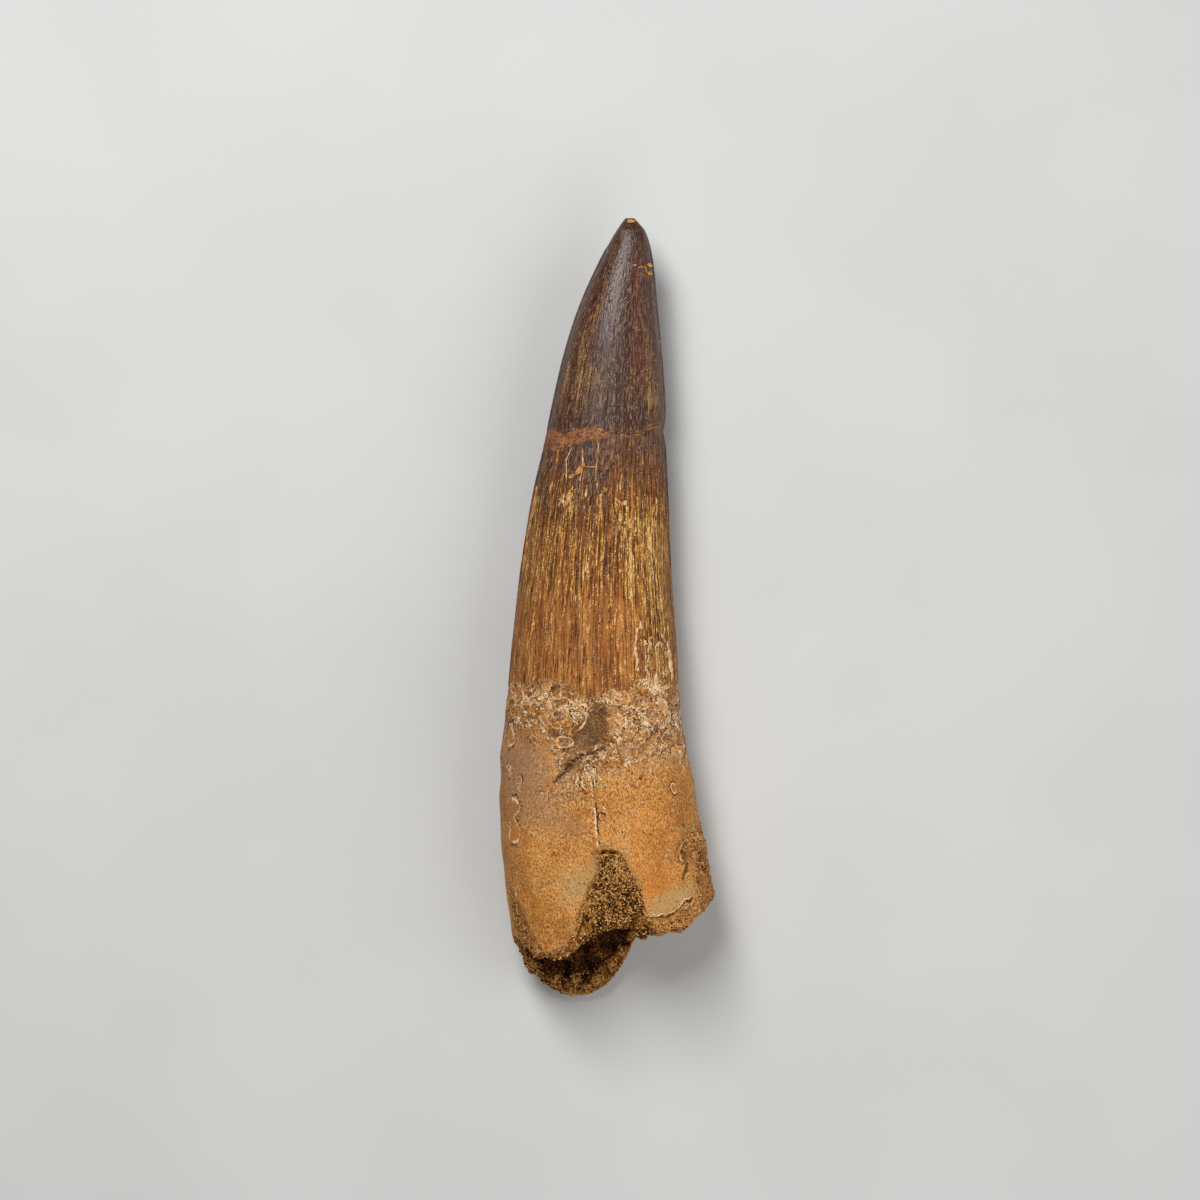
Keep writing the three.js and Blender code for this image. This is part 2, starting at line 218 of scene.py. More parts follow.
def lumps(x, y, z, size, seed=0):
    """Smooth noise from -1 to 1: the numbers at the eight corners of the cell that holds a point,
    blended by S-shaped steps along each side."""
    places = [np.broadcast_to(v, np.broadcast(x, y, z).shape) / size for v in (x, y, z)]
    low = [np.floor(v).astype(np.int64) for v in places]
    fx, fy, fz = [smooth(v - base, 0, 1) for v, base in zip(places, low)]
    i, j, k = low

    def side(dj, dk):
        return mix(lattice(i, j + dj, k + dk, seed), lattice(i + 1, j + dj, k + dk, seed), fx)

    return mix(mix(side(0, 0), side(1, 0), fy), mix(side(0, 1), side(1, 1), fy), fz)


def rough(x, y, z, size, layers, seed=0):
    """Noise of several sizes: each layer of lumps is half as large and half as high as the last."""
    return sum(lumps(x, y, z, size / 2**n, seed + n) / 2**n for n in range(layers))


# ---------------------------------------------------------------- the tooth's form


def edges(y):
    """Left, right, under and top of the tooth at a y, read from the outline."""
    return [through(OUTLINE[0], row, y) for row in OUTLINE[1:]]


def upper_side(turn):
    """1 on the upper side and 0 on the under side, with a soft change at the two edges."""
    return smooth(np.sin(turn), 0.02, 0.3)


def crack_y(turn, x):
    """The mended crack's y: its own line on the upper side, and two waves round the under side."""
    under = CRACK_Y + 0.5 * np.sin(turn + 0.6) * np.cos(2 * turn) + 0.35 * np.sin(5 * turn)
    over = through(*CRACK_LINE, x) + 0.3 * rough(x, 0, 0, 1.3, 2, 4)
    return mix(under, over, upper_side(turn))


def cervix_y(turn, x):
    """The y of the crown's ragged lower edge: its own line above, and two waves below."""
    under = CERVIX_Y + 0.7 * np.sin(3 * turn + 1) + 0.45 * np.sin(8 * turn)
    return mix(under, through(*CERVIX_LINE, x), upper_side(turn))


def break_y(x, z):
    """The y of the root's break: the back wall's edge low down, the front wall's high up, an S-shaped
    blend between them, and a small unevenness of two crossed waves."""
    front = smooth(z, 7.5, 18)
    ragged = 0.7 * np.sin(0.9 * x + 0.5 * z) * np.cos(0.8 * z - 0.35 * x)
    return mix(through(*BACK_EDGE, x), through(*FRONT_EDGE, x), front) + ragged * smooth(z, 2, 8)


def in_notch(x, y):
    """1 inside the sand's notch and 0 outside, by the distance to its two sides and its top."""
    return smooth(notch_depth(x, y), -0.1, 0.45)


def notch_depth(x, y):
    """How far inside the notch's ragged outline a point is, by the distance to its sides and its top."""
    uneven = 0.5 * rough(x, y, 0, 1.8, 3, 71) + 0.3 * lumps(x, y, 0, 0.6, 75)
    sides = np.minimum(x - through(*NOTCH_LEFT, y), through(*NOTCH_RIGHT, y) - x)
    return np.minimum(sides, NOTCH_TOP_Y - y - 0.3 * np.abs(x - 0.4)) + uneven


def in_filling(turn, x, y):
    """1 on the clay smeared over the crack's left half, fading over a third of a millimetre."""
    uneven = 0.5 * rough(x, y, 0, 1.6, 3, 5)
    inside = np.minimum(through(*FILL_TOP, x) - y, y - through(*FILL_FOOT, x)) + uneven
    return smooth(inside, -0.1, 0.15) * smooth(0.2 - x, -0.2, 0.3) * smooth(np.sin(turn), -0.1, 0.1)


def on_break(turn, x, y, rim):
    """How granular the root is: 1 near the rim, in a strip of uneven width, beside the notch, and down
    both margins."""
    up = upper_side(turn)
    away = y - rim
    strip = 0.8 + 0.6 * lumps(x, y, 0, 3.0, 31) + 3.4 * bump(x + 4.0, 2.6) * up
    near = 1 - smooth(away, strip - 0.7, strip + 0.9)
    spill = smooth(notch_depth(x, y) + 0.6 * lumps(x, y, 0, 1.1, 34), -2.4, -0.1)
    spill = spill * mix(0.85, 0.5, smooth(x, -1, 3))
    near = np.maximum(near, spill * up)
    near = np.maximum(near, 0.8 * smooth(ledge_drop(x, y), 0.5, 0.9) * up)
    left = on_shoulder(x, y) * up
    right = smooth(x + 0.25 * (y + 45), 13.4, 15.2) * smooth(-y, 35, 42)
    right *= smooth(np.sin(turn), -0.35, 0.1) * (0.85 + 0.4 * lumps(x, y, 0, 2.2, 33))
    return np.clip(np.maximum(np.maximum(near, 0.85 * left), right), 0, 1)


def on_shoulder(x, y):
    """1 on the rough strip beside the left lobe's face, left of a line that slants down to the rim."""
    line_x = -17.2 + 0.46 * (-49.5 - y) + 0.4 * lumps(x, y, 0, 1.6, 35)
    return smooth(line_x - x, -0.2, 0.5) * smooth(-y, 48.5, 51.5)


def in_band(turn, x, y):
    """1 on the scabby band under the crown, down to its own ragged line above and a plain one below."""
    foot = mix(-31, through(*BAND_LINE, x), upper_side(turn))
    return smooth(y - foot + 2.0 * lumps(x, y, 5 * np.sin(turn), 2.6, 62), -2.5, 4.0)


def flute_phase(turn, y):
    """The angle whose cosine is 0 in the grooves between the ribs: half the ribs' count times the turn,
    with a slow wander."""
    return RIBS * turn / 2 + 0.5 * lumps(4 * np.cos(turn), y * 0.12, 4 * np.sin(turn), 1.0, 3)


def relief(turn, x, y, rim):
    """What stands out of the smooth section: ribs, keels, the crown's ledge, the crack, the band's
    scabs and pits, the root's furrow, the notch, the granular break and its rounded edge."""
    up = upper_side(turn)
    along = [x, y * 0.5, 9 * np.sin(turn)]
    round_tooth = [15 * np.cos(turn), y, 15 * np.sin(turn)]
    crown = np.tanh((y - cervix_y(turn, x)) / 0.3) * 0.5 + 0.5
    off_edge = 0.3 + 0.7 * smooth(np.abs(np.sin(turn)), 0.1, 0.45)
    height = LEDGE_HEIGHT * off_edge * (crown - 1) * bump(y - CERVIX_Y, LEDGE_REACH)

    rib = np.abs(np.cos(flute_phase(turn, y))) ** 0.7 - 0.6
    height += RIB_HEIGHT * crown * smooth(TIP_Y - y, 22, 38) * rib
    fibres = lumps(round_tooth[0] * 2.2, y * 0.12, round_tooth[2] * 2.2, 1.0, 9)
    height += 0.07 * crown * (1 - smooth(y, 20, 34)) * fibres
    keeled = smooth(y, -12, 10) * smooth(TIP_Y - y, 0, 8)
    height += KEEL_HEIGHT * keeled * bump(np.sin(turn), KEEL_WIDTH) * np.abs(np.cos(turn))

    filling = in_filling(turn, x, y)
    height -= 0.16 * bump(y - crack_y(turn, x), 0.22) * (1 - filling) * off_edge
    height += (0.02 + 0.12 * rough(x, y, 0, 1.2, 2, 6)) * filling
    height -= 0.4 * bump(np.hypot(x - 10.0, y - 31.6), 1.7)
    height -= 0.4 * bump(np.hypot(x - 1.0, y - 64.6), 0.8) * bump(np.sin(turn), 0.8)

    band = (1 - crown) * in_band(turn, x, y)
    height += 0.17 * band * rough(*round_tooth, 2.2, 3, 11)
    height += 0.13 * band * np.tanh(5 * lumps(*round_tooth, 1.7, 13) + 3 * lumps(*round_tooth, 0.8, 14))
    height += (1 - crown) * 0.16 * np.sin(0.5 * x + 0.31 * y) * np.sin(0.43 * y + 2 * turn)
    height += (1 - crown) * (1 - band) * 0.06 * rough(*along, 3.0, 3, 15)

    furrow = smooth(-y, 26, 40) * bump(x + 1.2 + 0.02 * (y + 40), 3.2)
    height -= FURROW_DEPTH * furrow * up
    for spot_x, spot_y, reach, depth in SPOTS:
        height += depth * bump(np.hypot(x - spot_x, y - spot_y), reach) * up
    height -= NOTCH_SINK * in_notch(x, y) * up

    gritty = on_break(turn, x, y, rim)
    height += 0.45 * gritty * (rough(*round_tooth, 1.5, 3, 21) - 0.5)
    margin = smooth(x, 12.4, 14.0) * smooth(-y, 36, 42) * smooth(np.sin(turn), -0.2, 0.2)
    height += 0.6 * margin * rough(*round_tooth, 2.8, 3, 23)
    height -= 0.6 * on_shoulder(x, y) * up
    height -= 0.35 * smooth(ledge_drop(x, y), -0.1, 0.25) * (1 - smooth(ledge_drop(x, y), 0.4, 2.2)) * up
    near = np.clip((y - rim) / EDGE_ROUND, 0, 1)
    height -= EDGE_ROUND * (1 - np.sqrt(1 - (1 - near) ** 2)) * 0.9
    return height


def ledge_drop(x, y):
    """How far a point lies below the right lobe's ledge; far above it, past the ledge's two ends."""
    uneven = 0.5 * rough(x, y, 0, 1.7, 3, 36)
    along = smooth(x, 5.4, 6.4) * (1 - smooth(x, 15.6, 16.4))
    return mix(-6, through(*LEDGE_LINE, x) - y + uneven, along)


def skin(turn, y, rim=RIM_Y, lift=0.0):
    """The tooth's outer surface. x and z are the section's middle plus its half width times the cosine
    and its half height times the sine, each to the power 0.93 with its sign kept. The point then moves
    by the relief and lift along the oval's outward direction, and is worn flat at the floor."""
    left, right, under, top = edges(y)
    wide = (right - left) / 2
    high = (top - under) / 2
    cos, sin = np.cos(turn), np.sin(turn)
    x = (left + right) / 2 + wide * np.sign(cos) * np.abs(cos) ** SECTION_POWER
    z = (top + under) / 2 + high * np.sign(sin) * np.abs(sin) ** SECTION_POWER
    out = np.stack([cos / wide, sin / high])
    out /= np.hypot(*out)
    shift = relief(turn, x, y, rim) + lift
    x = x + shift * out[0]
    z = np.maximum(z + shift * out[1], 0)
    return np.stack(np.broadcast_arrays(x, y, z), -1)


def turn_over(x, y):
    """The turn at which the upper side passes over a given x: the section's formula turned round."""
    left, right, _, _ = edges(y)
    across = np.clip((2 * x - left - right) / (right - left), -0.995, 0.995)
    return np.arccos(np.sign(across) * np.abs(across) ** (1 / SECTION_POWER))


def rim_y(turn):
    """Where the wall meets the break: start at the usual rim and read the break there a few times."""
    y = np.full_like(turn, RIM_Y)
    for _ in range(4):
        left, right, under, top = edges(y)
        x = (left + right) / 2 + (right - left) / 2 * np.cos(turn)
        z = (top + under) / 2 + (top - under) / 2 * np.sin(turn)
        y = break_y(x, z)
    notch = smooth(x, -5.2, -4.2) * smooth(7.0 - x, 0, 1) * smooth(np.sin(turn), 0.5, 0.7)
    return y + NOTCH_RISE * notch


# ---------------------------------------------------------------- meshes


def ring_faces(rings, around):
    """Faces of a closed surface of rings with a pole at each end: quads between rings, and fans of
    triangles round the poles. Point 0 is the first pole and the last point is the other."""
    k = np.arange(around)
    ahead = (k + 1) % around
    start = 1 + around * np.arange(rings - 1)[:, None]
    quads = np.stack([start + k, start + ahead, start + around + ahead, start + around + k], -1)
    last = 1 + around * (rings - 1)
    first_fan = np.stack([np.zeros(around, int), 1 + ahead, 1 + k], -1)
    last_fan = np.stack([last + k, last + ahead, np.full(around, last + around)], -1)
    return [quads.reshape(-1, 4), np.concatenate([first_fan, last_fan])]


def mesh_object(name, points, faces, masks=None):
    """A smooth-shaded mesh from points in millimetres and arrays of faces. Each mask becomes an
    attribute with one number, or one vector, for each point."""
    mesh = bpy.data.meshes.new(name)
    corners = np.concatenate([part.ravel() for part in faces])
    sizes = np.concatenate([np.full(len(part), part.shape[1]) for part in faces])
    mesh.vertices.add(len(points))
    mesh.vertices.foreach_set("co", (points * MM).astype(np.float32).ravel())
    mesh.loops.add(len(corners))
    mesh.loops.foreach_set("vertex_index", corners.astype(np.int32))
    mesh.polygons.add(len(sizes))
    mesh.polygons.foreach_set("loop_start", (np.cumsum(sizes) - sizes).astype(np.int32))
    mesh.update(calc_edges=True)
    mesh.validate()
    mesh.shade_smooth()
    for label, values in (masks or {}).items():
        values = np.asarray(values, np.float32)
        kind, field = ("FLOAT", "value") if values.ndim == 1 else ("FLOAT_VECTOR", "vector")
        mesh.attributes.new(label, kind, "POINT").data.foreach_set(field, values.ravel())
    piece = bpy.data.objects.new(name, mesh)
    bpy.context.scene.collection.objects.link(piece)
    return piece


def closed_rings(first, rings, last):
    """The points of a ring surface in one list: a pole, ring after ring, and the other pole."""
    return np.concatenate([first.reshape(1, -1), rings.reshape(-1, rings.shape[-1]), last.reshape(1, -1)])


# ---------------------------------------------------------------- the tooth's mesh

COLUMNS = 300
SKIN_ROWS = 286
BREAK_ROWS = 18
HOLLOW_ROWS = 12
GATHER = 0.35  # how much the columns crowd on the upper side


def column_turns():
    """Turns of the columns: evenly spaced, plus a cosine that crowds them on the upper side."""
    even = 2 * np.pi * np.arange(COLUMNS) / COLUMNS
    return even + GATHER * np.cos(even)


def row_places():
    """The rows' y from tip to rim, closer together at the tip, the crack, the cervix and the rim: the
    crowding is summed along the tooth and read back at equal steps."""
    y = np.linspace(TIP_Y, RIM_Y, 4000)
    crowding = 1 + 1.3 * bump(y - CRACK_Y, 2.2) + 0.8 * bump(y - CERVIX_Y, 3) + 1.6 * bump(y - RIM_Y, 3)
    crowding += 3 * bump(y - TIP_Y, 1.6)
    summed = np.cumsum(crowding)
    return np.interp(np.linspace(summed[0], summed[-1], SKIN_ROWS), summed, y)


def tooth_points():
    """Rings down the outer face, over the break to the hollow's mouth, and a little way up into the
    hollow behind the sand. Returns each column's turn and rim, the rings, and 1 for each ring that
    lies past the rim."""
    turn = column_turns()
    cos, sin = np.cos(turn), np.sin(turn)
    rim = rim_y(turn)
    rows = row_places()[:, None]
    lean = np.clip((rows - ROOT_FULL_Y) / (RIM_Y - ROOT_FULL_Y), 0, None)
    y = np.where(rows < ROOT_FULL_Y, mix(ROOT_FULL_Y, rim, lean), rows + 0 * rim)
    outer = skin(turn + 0 * rows, y, rim)

    share = np.linspace(0, 1, BREAK_ROWS + 1)[1:, None]
    edge = outer[-1]
    mouth_x, mouth_z, mouth_wide, mouth_high = MOUTH
    x = mix(edge[:, 0], mouth_x + mouth_wide * cos, share)
    z = mix(edge[:, 2], mouth_z + mouth_high * sin, share)
    uneven = 0.8 * rough(x, 0, z, 2.6, 4, 41) * smooth(share, 0, 0.2)
    notch = smooth(x, -5.6, -4.2) * smooth(7.6 - x, 0, 1) * smooth(z, 17, 20)
    y = mix(edge[:, 1], break_y(x, z) + NOTCH_RISE * notch, smooth(share, 0, 0.25)) + uneven
    face = np.stack([x, y, z], -1)

    share = np.linspace(0, 1, HOLLOW_ROWS + 1)[1:, None]
    y = mix(face[-1, :, 1], HOLLOW_TOP_Y, share)
    middle_x, middle_z, wide, high = [through(HOLLOW[0], row, y) for row in HOLLOW[1:]]
    lumpy = 1 + 0.04 * np.sin(3 * turn + 0.3 * y) + 0.03 * rough(7 * cos, y, 7 * sin, 3, 3, 43)
    inner = np.stack([middle_x + wide * lumpy * cos, y, middle_z + high * lumpy * sin], -1)
    inner[0] = mix(face[-1], inner[0], 0.6)

    rings = np.concatenate([outer, face, inner])
    past_rim = np.zeros(len(rings))
    past_rim[SKIN_ROWS:] = 1
    return turn, rim, rings, past_rim


# Soft patches on the upper side, by finish: x, y, reach across, reach along, lean, strength.
PATCHES = {
    "gilded": [
        (-2.9, 40.3, 1.7, 2.6, 0.1, 0.7),
        (-4.6, 45.0, 1.0, 7.0, 0.16, 0.6),
        (-1.6, 53.0, 0.5, 5.0, 0.31, 0.8),
        (8.2, 37.0, 1.6, 4.6, 0.0, 0.7),
        (7.2, 46.0, 1.0, 7.0, -0.05, 0.55),
        (4.0, 41.0, 0.6, 5.0, 0.0, 0.4),
        (1.8, 42.4, 0.6, 0.5, 0.0, 0.8),
        (-7.6, 40.0, 0.6, 6.0, 0.17, 0.6),
        (-4.6, 42.0, 3.0, 9.0, 0.2, 0.22),
        (8.2, 12.0, 1.8, 9.0, -0.03, 0.7),
        (-13.0, 19.0, 0.8, 6.0, 0.2, 0.6),
        (3.2, 15.0, 1.6, 5.0, 0.0, 0.35),
        (9.0, -3.0, 2.4, 8.0, 0.0, 0.8),
        (-5.6, 18.6, 2.2, 2.2, 0.0, 0.4),
    ],
    "reddened": [
        (5.0, 59.5, 0.8, 4.4, 0.0, 0.7),
        (5.2, 51.6, 1.1, 4.6, 0.0, 0.8),
        (5.5, 43.6, 1.1, 3.8, 0.0, 0.9),
        (-8.6, 37.0, 1.2, 6.0, 0.2, 0.7),
        (-4.4, 54.0, 1.0, 5.0, 0.32, 0.6),
        (1.2, 24.0, 2.6, 5.4, 0.0, 1.0),
        (7.6, 24.5, 1.8, 5.4, 0.0, 0.8),
        (-9.6, 25.6, 1.6, 4.4, 0.17, 0.7),
        (-9.0, -5.0, 6.0, 6.5, 0.0, 0.8),
        (2.0, -8.0, 4.0, 5.0, 0.0, 0.7),
        (0.5, 3.0, 3.0, 7.0, 0.0, 0.35),
    ],
    # painted shade darkening the side edges of root and dentine, over brown of their own
    "brown_and_edge_shade": [
        (-19.2, -38.0, 2.2, 16.0, 0.0, 0.9),
        (-17.0, 2.0, 2.4, 18.0, 0.1, 0.7),
        (13.6, -22.0, 1.2, 9.0, 0.0, 0.35),
    ],
    "lilac": [
        (-14.0, -27.5, 5.5, 4.6, 0.0, 0.9),
        (-12.0, -34.5, 5.0, 4.4, 0.3, 0.7),
        (-16.6, -29.0, 2.6, 8.0, 0.0, 0.5),
        (-6.5, -38.5, 4.0, 1.6, 0.3, 0.5),
        (-9.6, -19.0, 1.4, 0.8, 0.0, 0.8),
        (4.6, -25.6, 3.0, 1.6, 0.2, 0.6),
        (10.0, -22.6, 3.0, 1.6, 0.2, 0.4),
    ],
    "greened": [
        (-5.2, -49.4, 3.2, 3.8, 0.0, 0.95),
        (-2.4, -45.6, 1.4, 2.6, 0.0, 0.5),
        (11.2, -51.8, 3.6, 1.3, -0.52, 2.5),
        (4.8, 26.0, 0.6, 1.6, 0.0, 0.9),
    ],
    "orange": [
        (7.9, -49.2, 3.2, 3.0, 0.0, 1.0),
        (-7.8, -23.7, 0.9, 0.7, 0.0, 1.0),
        (-17.0, -22.6, 0.5, 1.9, 0.0, 0.9),
        (-17.0, -35.6, 0.9, 1.5, 0.0, 1.8),
        (-16.6, -40.2, 0.7, 1.2, 0.0, 1.8),
        (0.2, -20.6, 1.2, 1.6, 0.0, 0.9),
        (6.0, -38.0, 5.0, 5.0, 0.0, 0.3),
    ],
    "dark": [
        (-8.9, -22.6, 1.5, 0.7, 0.3, 0.9),
        (-9.6, -18.6, 0.9, 0.6, 0.0, 0.8),
        (-13.6, -23.6, 0.9, 0.6, 0.0, 0.7),
        (8.8, -21.3, 0.45, 0.4, 0.0, 1.0),
        (5.9, -29.7, 0.45, 0.4, 0.0, 1.0),
        # painted shade in the hollow and crevice near the right margin
        (13.9, -42.6, 0.8, 2.4, 0.25, 1.0),
        (15.6, -47.0, 0.8, 1.8, 0.4, 0.8),
        (2.3, 25.2, 0.4, 2.2, 0.0, 0.5),
    ],
    "freckled": [
        (-8.6, -33.4, 3.4, 2.6, 0.3, 1.0),
        (-11.6, -36.6, 2.4, 2.0, 0.0, 0.7),
        (12.6, -35.6, 2.2, 4.4, 0.2, 1.0),
        (5.0, -31.0, 6.0, 1.6, 0.0, 0.6),
        (-9.0, -52.5, 3.0, 1.6, 0.0, 0.7),
        (8.6, -47.6, 2.4, 2.4, 0.0, 0.6),
    ],
    "stained": [
        (-1.8, -19.4, 1.7, 3.0, 0.1, 1.2),
        (-3.9, -22.4, 2.9, 2.0, -0.4, 1.2),
        (-6.4, -27.6, 2.2, 1.1, -0.7, 0.8),
    ],
    "scarred": [
        (-17.0, -35.6, 1.3, 2.2, 0.0, 1.0),
        (-16.6, -40.2, 1.0, 1.9, 0.0, 1.0),
        (-7.95, -23.8, 1.5, 1.1, 0.2, 1.0),
        (-8.4, -19.2, 1.3, 1.3, 0.0, 1.0),
        (2.3, -15.8, 1.5, 1.3, 0.0, 1.0),
        (-1.3, -36.7, 0.6, 0.6, 0.0, 1.0),
        (12.5, -25.4, 1.2, 1.4, 0.0, 1.0),
        (-17.2, -22.6, 0.7, 2.2, 0.0, 1.0),
        (-7.8, -26.3, 0.9, 0.8, 0.0, 1.0),
        (-3.6, -30.4, 1.4, 2.4, 0.1, 1.0),
        (8.4, -19.0, 2.8, 3.2, 0.3, 1.0),
        (11.5, -32.0, 0.9, 1.1, -0.4, 1.0),
        (-13.2, -23.4, 0.9, 0.8, 0.0, 1.0),
        (-15.8, -30.6, 0.7, 0.8, 0.0, 1.0),
        (-11.4, -33.6, 0.8, 1.0, 0.3, 1.0),
        (-17.6, -28.8, 0.5, 1.4, 0.0, 1.0),
        (5.6, -33.4, 0.7, 0.9, 0.2, 1.0),
        (13.6, -43.0, 1.2, 2.6, 0.3, 1.0),
        (6.0, -8.4, 1.3, 3.6, 0.0, 1.0),
        (9.6, -9.0, 1.3, 3.6, -0.1, 1.0),
    ],
    "pale": [
        (-6.9, -17.4, 3.6, 1.5, -0.3, 0.7),
        (-14.0, -15.6, 3.6, 2.0, 0.1, 0.65),
        (1.2, -15.4, 2.2, 1.2, 0.0, 0.5),
        (9.6, -18.6, 3.0, 3.0, 0.0, 0.4),
        (-16.2, -20.6, 1.6, 2.4, 0.0, 0.45),
        (12.4, -25.4, 0.8, 1.0, 0.0, 0.7),
        (-3.2, -29.2, 1.2, 1.8, 0.0, 0.6),
        (1.6, -21.6, 1.3, 0.8, 0.0, 0.6),
        (8.4, -14.0, 3.6, 1.8, 0.2, 0.9),
        (-0.9, -35.4, 0.8, 2.0, 0.0, 0.6),
        (4.4, -28.0, 1.8, 1.2, 0.2, 0.5),
        (-5.8, 19.4, 0.7, 1.7, 0.0, 0.7),
        (-1.1, 18.9, 0.6, 1.3, 0.0, 0.6),
        (2.0, 15.4, 0.9, 3.0, 0.0, 0.5),
        (3.9, 7.6, 0.45, 5.2, 0.0, 0.9),
        (7.3, 9.6, 1.2, 7.5, 0.0, 0.35),
        (-4.1, 7.3, 0.4, 1.4, 0.0, 0.9),
    ],
}

# The diagonal crack below the band's stain.
DIAGONAL = [(-0.7, -24.6), (-2.4, -25.4), (-4.6, -26.0), (-6.6, -27.4), (-7.6, -28.9), (-9.6, -30.6)]
# Thin lines on the upper side, by finish: the points they pass, their reach and their strength.
LINES = {
    "dark": [
        (DIAGONAL, 0.42, 0.95),
        # painted shadow under the left lobe's rim
        ([(-16.2, -60.4), (-13.6, -60.9)], 0.4, 0.7),
        # painted shade in the crevices down the right margin
        ([(13.4, -38.4), (14.1, -40.6), (13.1, -43.0), (14.2, -45.6), (13.2, -48.0)], 0.34, 0.9),
        ([(15.2, -40.4), (15.7, -43.4), (16.6, -46.0), (16.2, -48.6)], 0.3, 0.8),
        ([(-10.4, 30.0), (-10.6, 24.0), (-11.6, 14.0), (-12.2, 7.0)], 0.24, 0.6),
        ([(-8.4, 26.0), (-9.2, 12.0), (-9.8, 2.0)], 0.18, 0.5),
        ([(-5.9, 20.0), (-6.3, 8.0), (-6.4, -2.0)], 0.18, 0.5),
        ([(0.6, 26.0), (0.2, 12.0), (0.1, -3.0)], 0.18, 0.5),
        ([(6.3, 22.0), (6.6, 10.0), (6.9, 0.0)], 0.18, 0.5),
    ],
}


def patch(x, y, place_x, place_y, across, along, lean):
    """A soft oval: a bell of the distance from its middle, measured in its own two reaches along axes
    turned by its lean."""
    dx, dy = x - place_x, y - place_y
    side = dx * np.cos(lean) - dy * np.sin(lean)
    ahead = dx * np.sin(lean) + dy * np.cos(lean)
    return np.exp(-((side / across) ** 2) - (ahead / along) ** 2)


def line(x, y, points, reach):
    """A soft line: a bell of the distance to the nearest stretch between neighbouring points."""
    nearest = np.full(np.shape(x), 99.0)
    for (ax, ay), (bx, by) in zip(points, points[1:]):
        dx, dy = bx - ax, by - ay
        share = np.clip(((x - ax) * dx + (y - ay) * dy) / (dx * dx + dy * dy), 0, 1)
        nearest = np.minimum(nearest, np.hypot(x - ax - share * dx, y - ay - share * dy))
    return bump(nearest, reach)


def painted(finish, x, y, up):
    """The sum of a finish's soft patches and lines, on the upper side, kept between 0 and 1."""
    total = np.zeros(np.shape(x))
    wx = x + 0.35 * lumps(x, y, 0, 1.4, 51)
    wy = y + 0.5 * lumps(x, y, 0, 1.8, 52)
    for *where, strength in PATCHES.get(finish, []):
        total += strength * patch(wx, wy, *where)
    for points, reach, strength in LINES.get(finish, []):
        total += strength * line(x, y, points, reach)
    return np.clip(total * up, 0, 1)


def tooth_masks(turn, rim, rings, past_rim):
    """Every finish's share at each point of the tooth, and the coordinates that its grain follows: the
    turn laid on a cylinder of fixed radius, so that fibres draw together towards the tip."""
    x, y = rings[..., 0], rings[..., 1]
    turn = turn + 0 * y
    up = upper_side(turn) * (1 - past_rim[:, None])
    under = 1 - upper_side(turn)
    outer = 1 - past_rim[:, None]
    way = np.stack([15 * np.cos(turn), y, 15 * np.sin(turn)], -1)

    hidden_fringe = 20 + 4 * lumps(way[..., 0], 0, way[..., 2], 5.0, 61)
    fringe = mix(hidden_fringe, through(*FRINGE_LINE, x), upper_side(turn))
    crown_edge = y - cervix_y(turn, x)
    masks = {finish: painted(finish, x, y, up) for finish in PATCHES}
    hidden = lumps(*np.moveaxis(way, -1, 0), 6.0, 63)
    masks["brown_and_edge_shade"] += 0.5 * under * smooth(hidden, 0.1, 0.7) * outer
    masks["greened"] += 0.4 * under * smooth(-hidden, 0.3, 0.8) * outer
    calm = smooth(-y, -8, 3) * mix(1, 0.45, smooth(x, 3, 8)) * (y > -16)
    masks["reddened"] = np.clip(masks["reddened"] + calm * outer, 0, 1)
    masks["enamel"] = mix(-6, np.clip((y - fringe) / 3, -6, 6), outer)
    masks["glossy"] = 0.45 * smooth(y, 28, 34) + 0.55 * smooth(y, 38, 60)
    masks["flute"] = np.cos(flute_phase(turn, y)) + 1 - smooth(TIP_Y - y, 22, 38)
    ground = np.clip(smooth(y, -44, -32) + 0.5 * bump(x - 14, 3.5) + 0.5 * bump(y + 58, 3), 0, 1)
    masks["freckled"] = ground + 1.6 * masks["freckled"]
    masks["rooted"] = smooth(-crown_edge, -0.4, 0.4)
    masks["scabbed"] = masks["rooted"] * in_band(turn, x, y) * outer
    masks["filled"] = in_filling(turn, x, y) * outer
    masks["gritty"] = np.maximum(on_break(turn, x, y, rim) * outer, past_rim[:, None])
    masks["crack"] = mix(6, np.clip(y - crack_y(turn, x), -6, 6), (1 - masks["filled"]) * outer)
    masks["fissure"] = mix(6, x - through(*FISSURE_LINE, y), up * smooth(-y, 28.6, 29.6))
    masks["ledge"] = mix(-6, ledge_drop(x, y), up)
    masks["way"] = way
    return masks


def ring_piece(name, rings, first, last, masks):
    """A closed ring surface as one piece, each mask given at the poles too as its end ring's mean."""
    flat = {}
    for label, values in masks.items():
        values = values.reshape(*values.shape[:2], -1)
        flat[label] = closed_rings(values[0].mean(0), values, values[-1].mean(0)).squeeze()
    points = closed_rings(np.array(first), rings, np.array(last))
    return mesh_object(name, points, ring_faces(*rings.shape[:2]), flat)


def make_tooth():
    """The tooth's piece, and its rings and masks for the grains that lie on it."""
    turn, rim, rings, past_rim = tooth_points()
    masks = tooth_masks(turn, rim, rings, past_rim)
    piece = ring_piece("fossil_tooth", rings, (3.9, TIP_Y, 14.3), (-1.5, -45.0, 14.0), masks)
    return piece, rings, masks


# ---------------------------------------------------------------- clay crusts and flakes

CRUST_SECTIONS = 26
BAND_CRUSTS = 160  # crusts at random over the scabby band
ROOT_CRUSTS = 50  # thinner ones at random down the root
ROOT_THINNING = 0.6
GOLD_DASHES = 60
STAIN_OVAL = (-3.0, -21.2, 3.4, 3.8, 0.2)  # where no crust at random starts, laid out as a patch
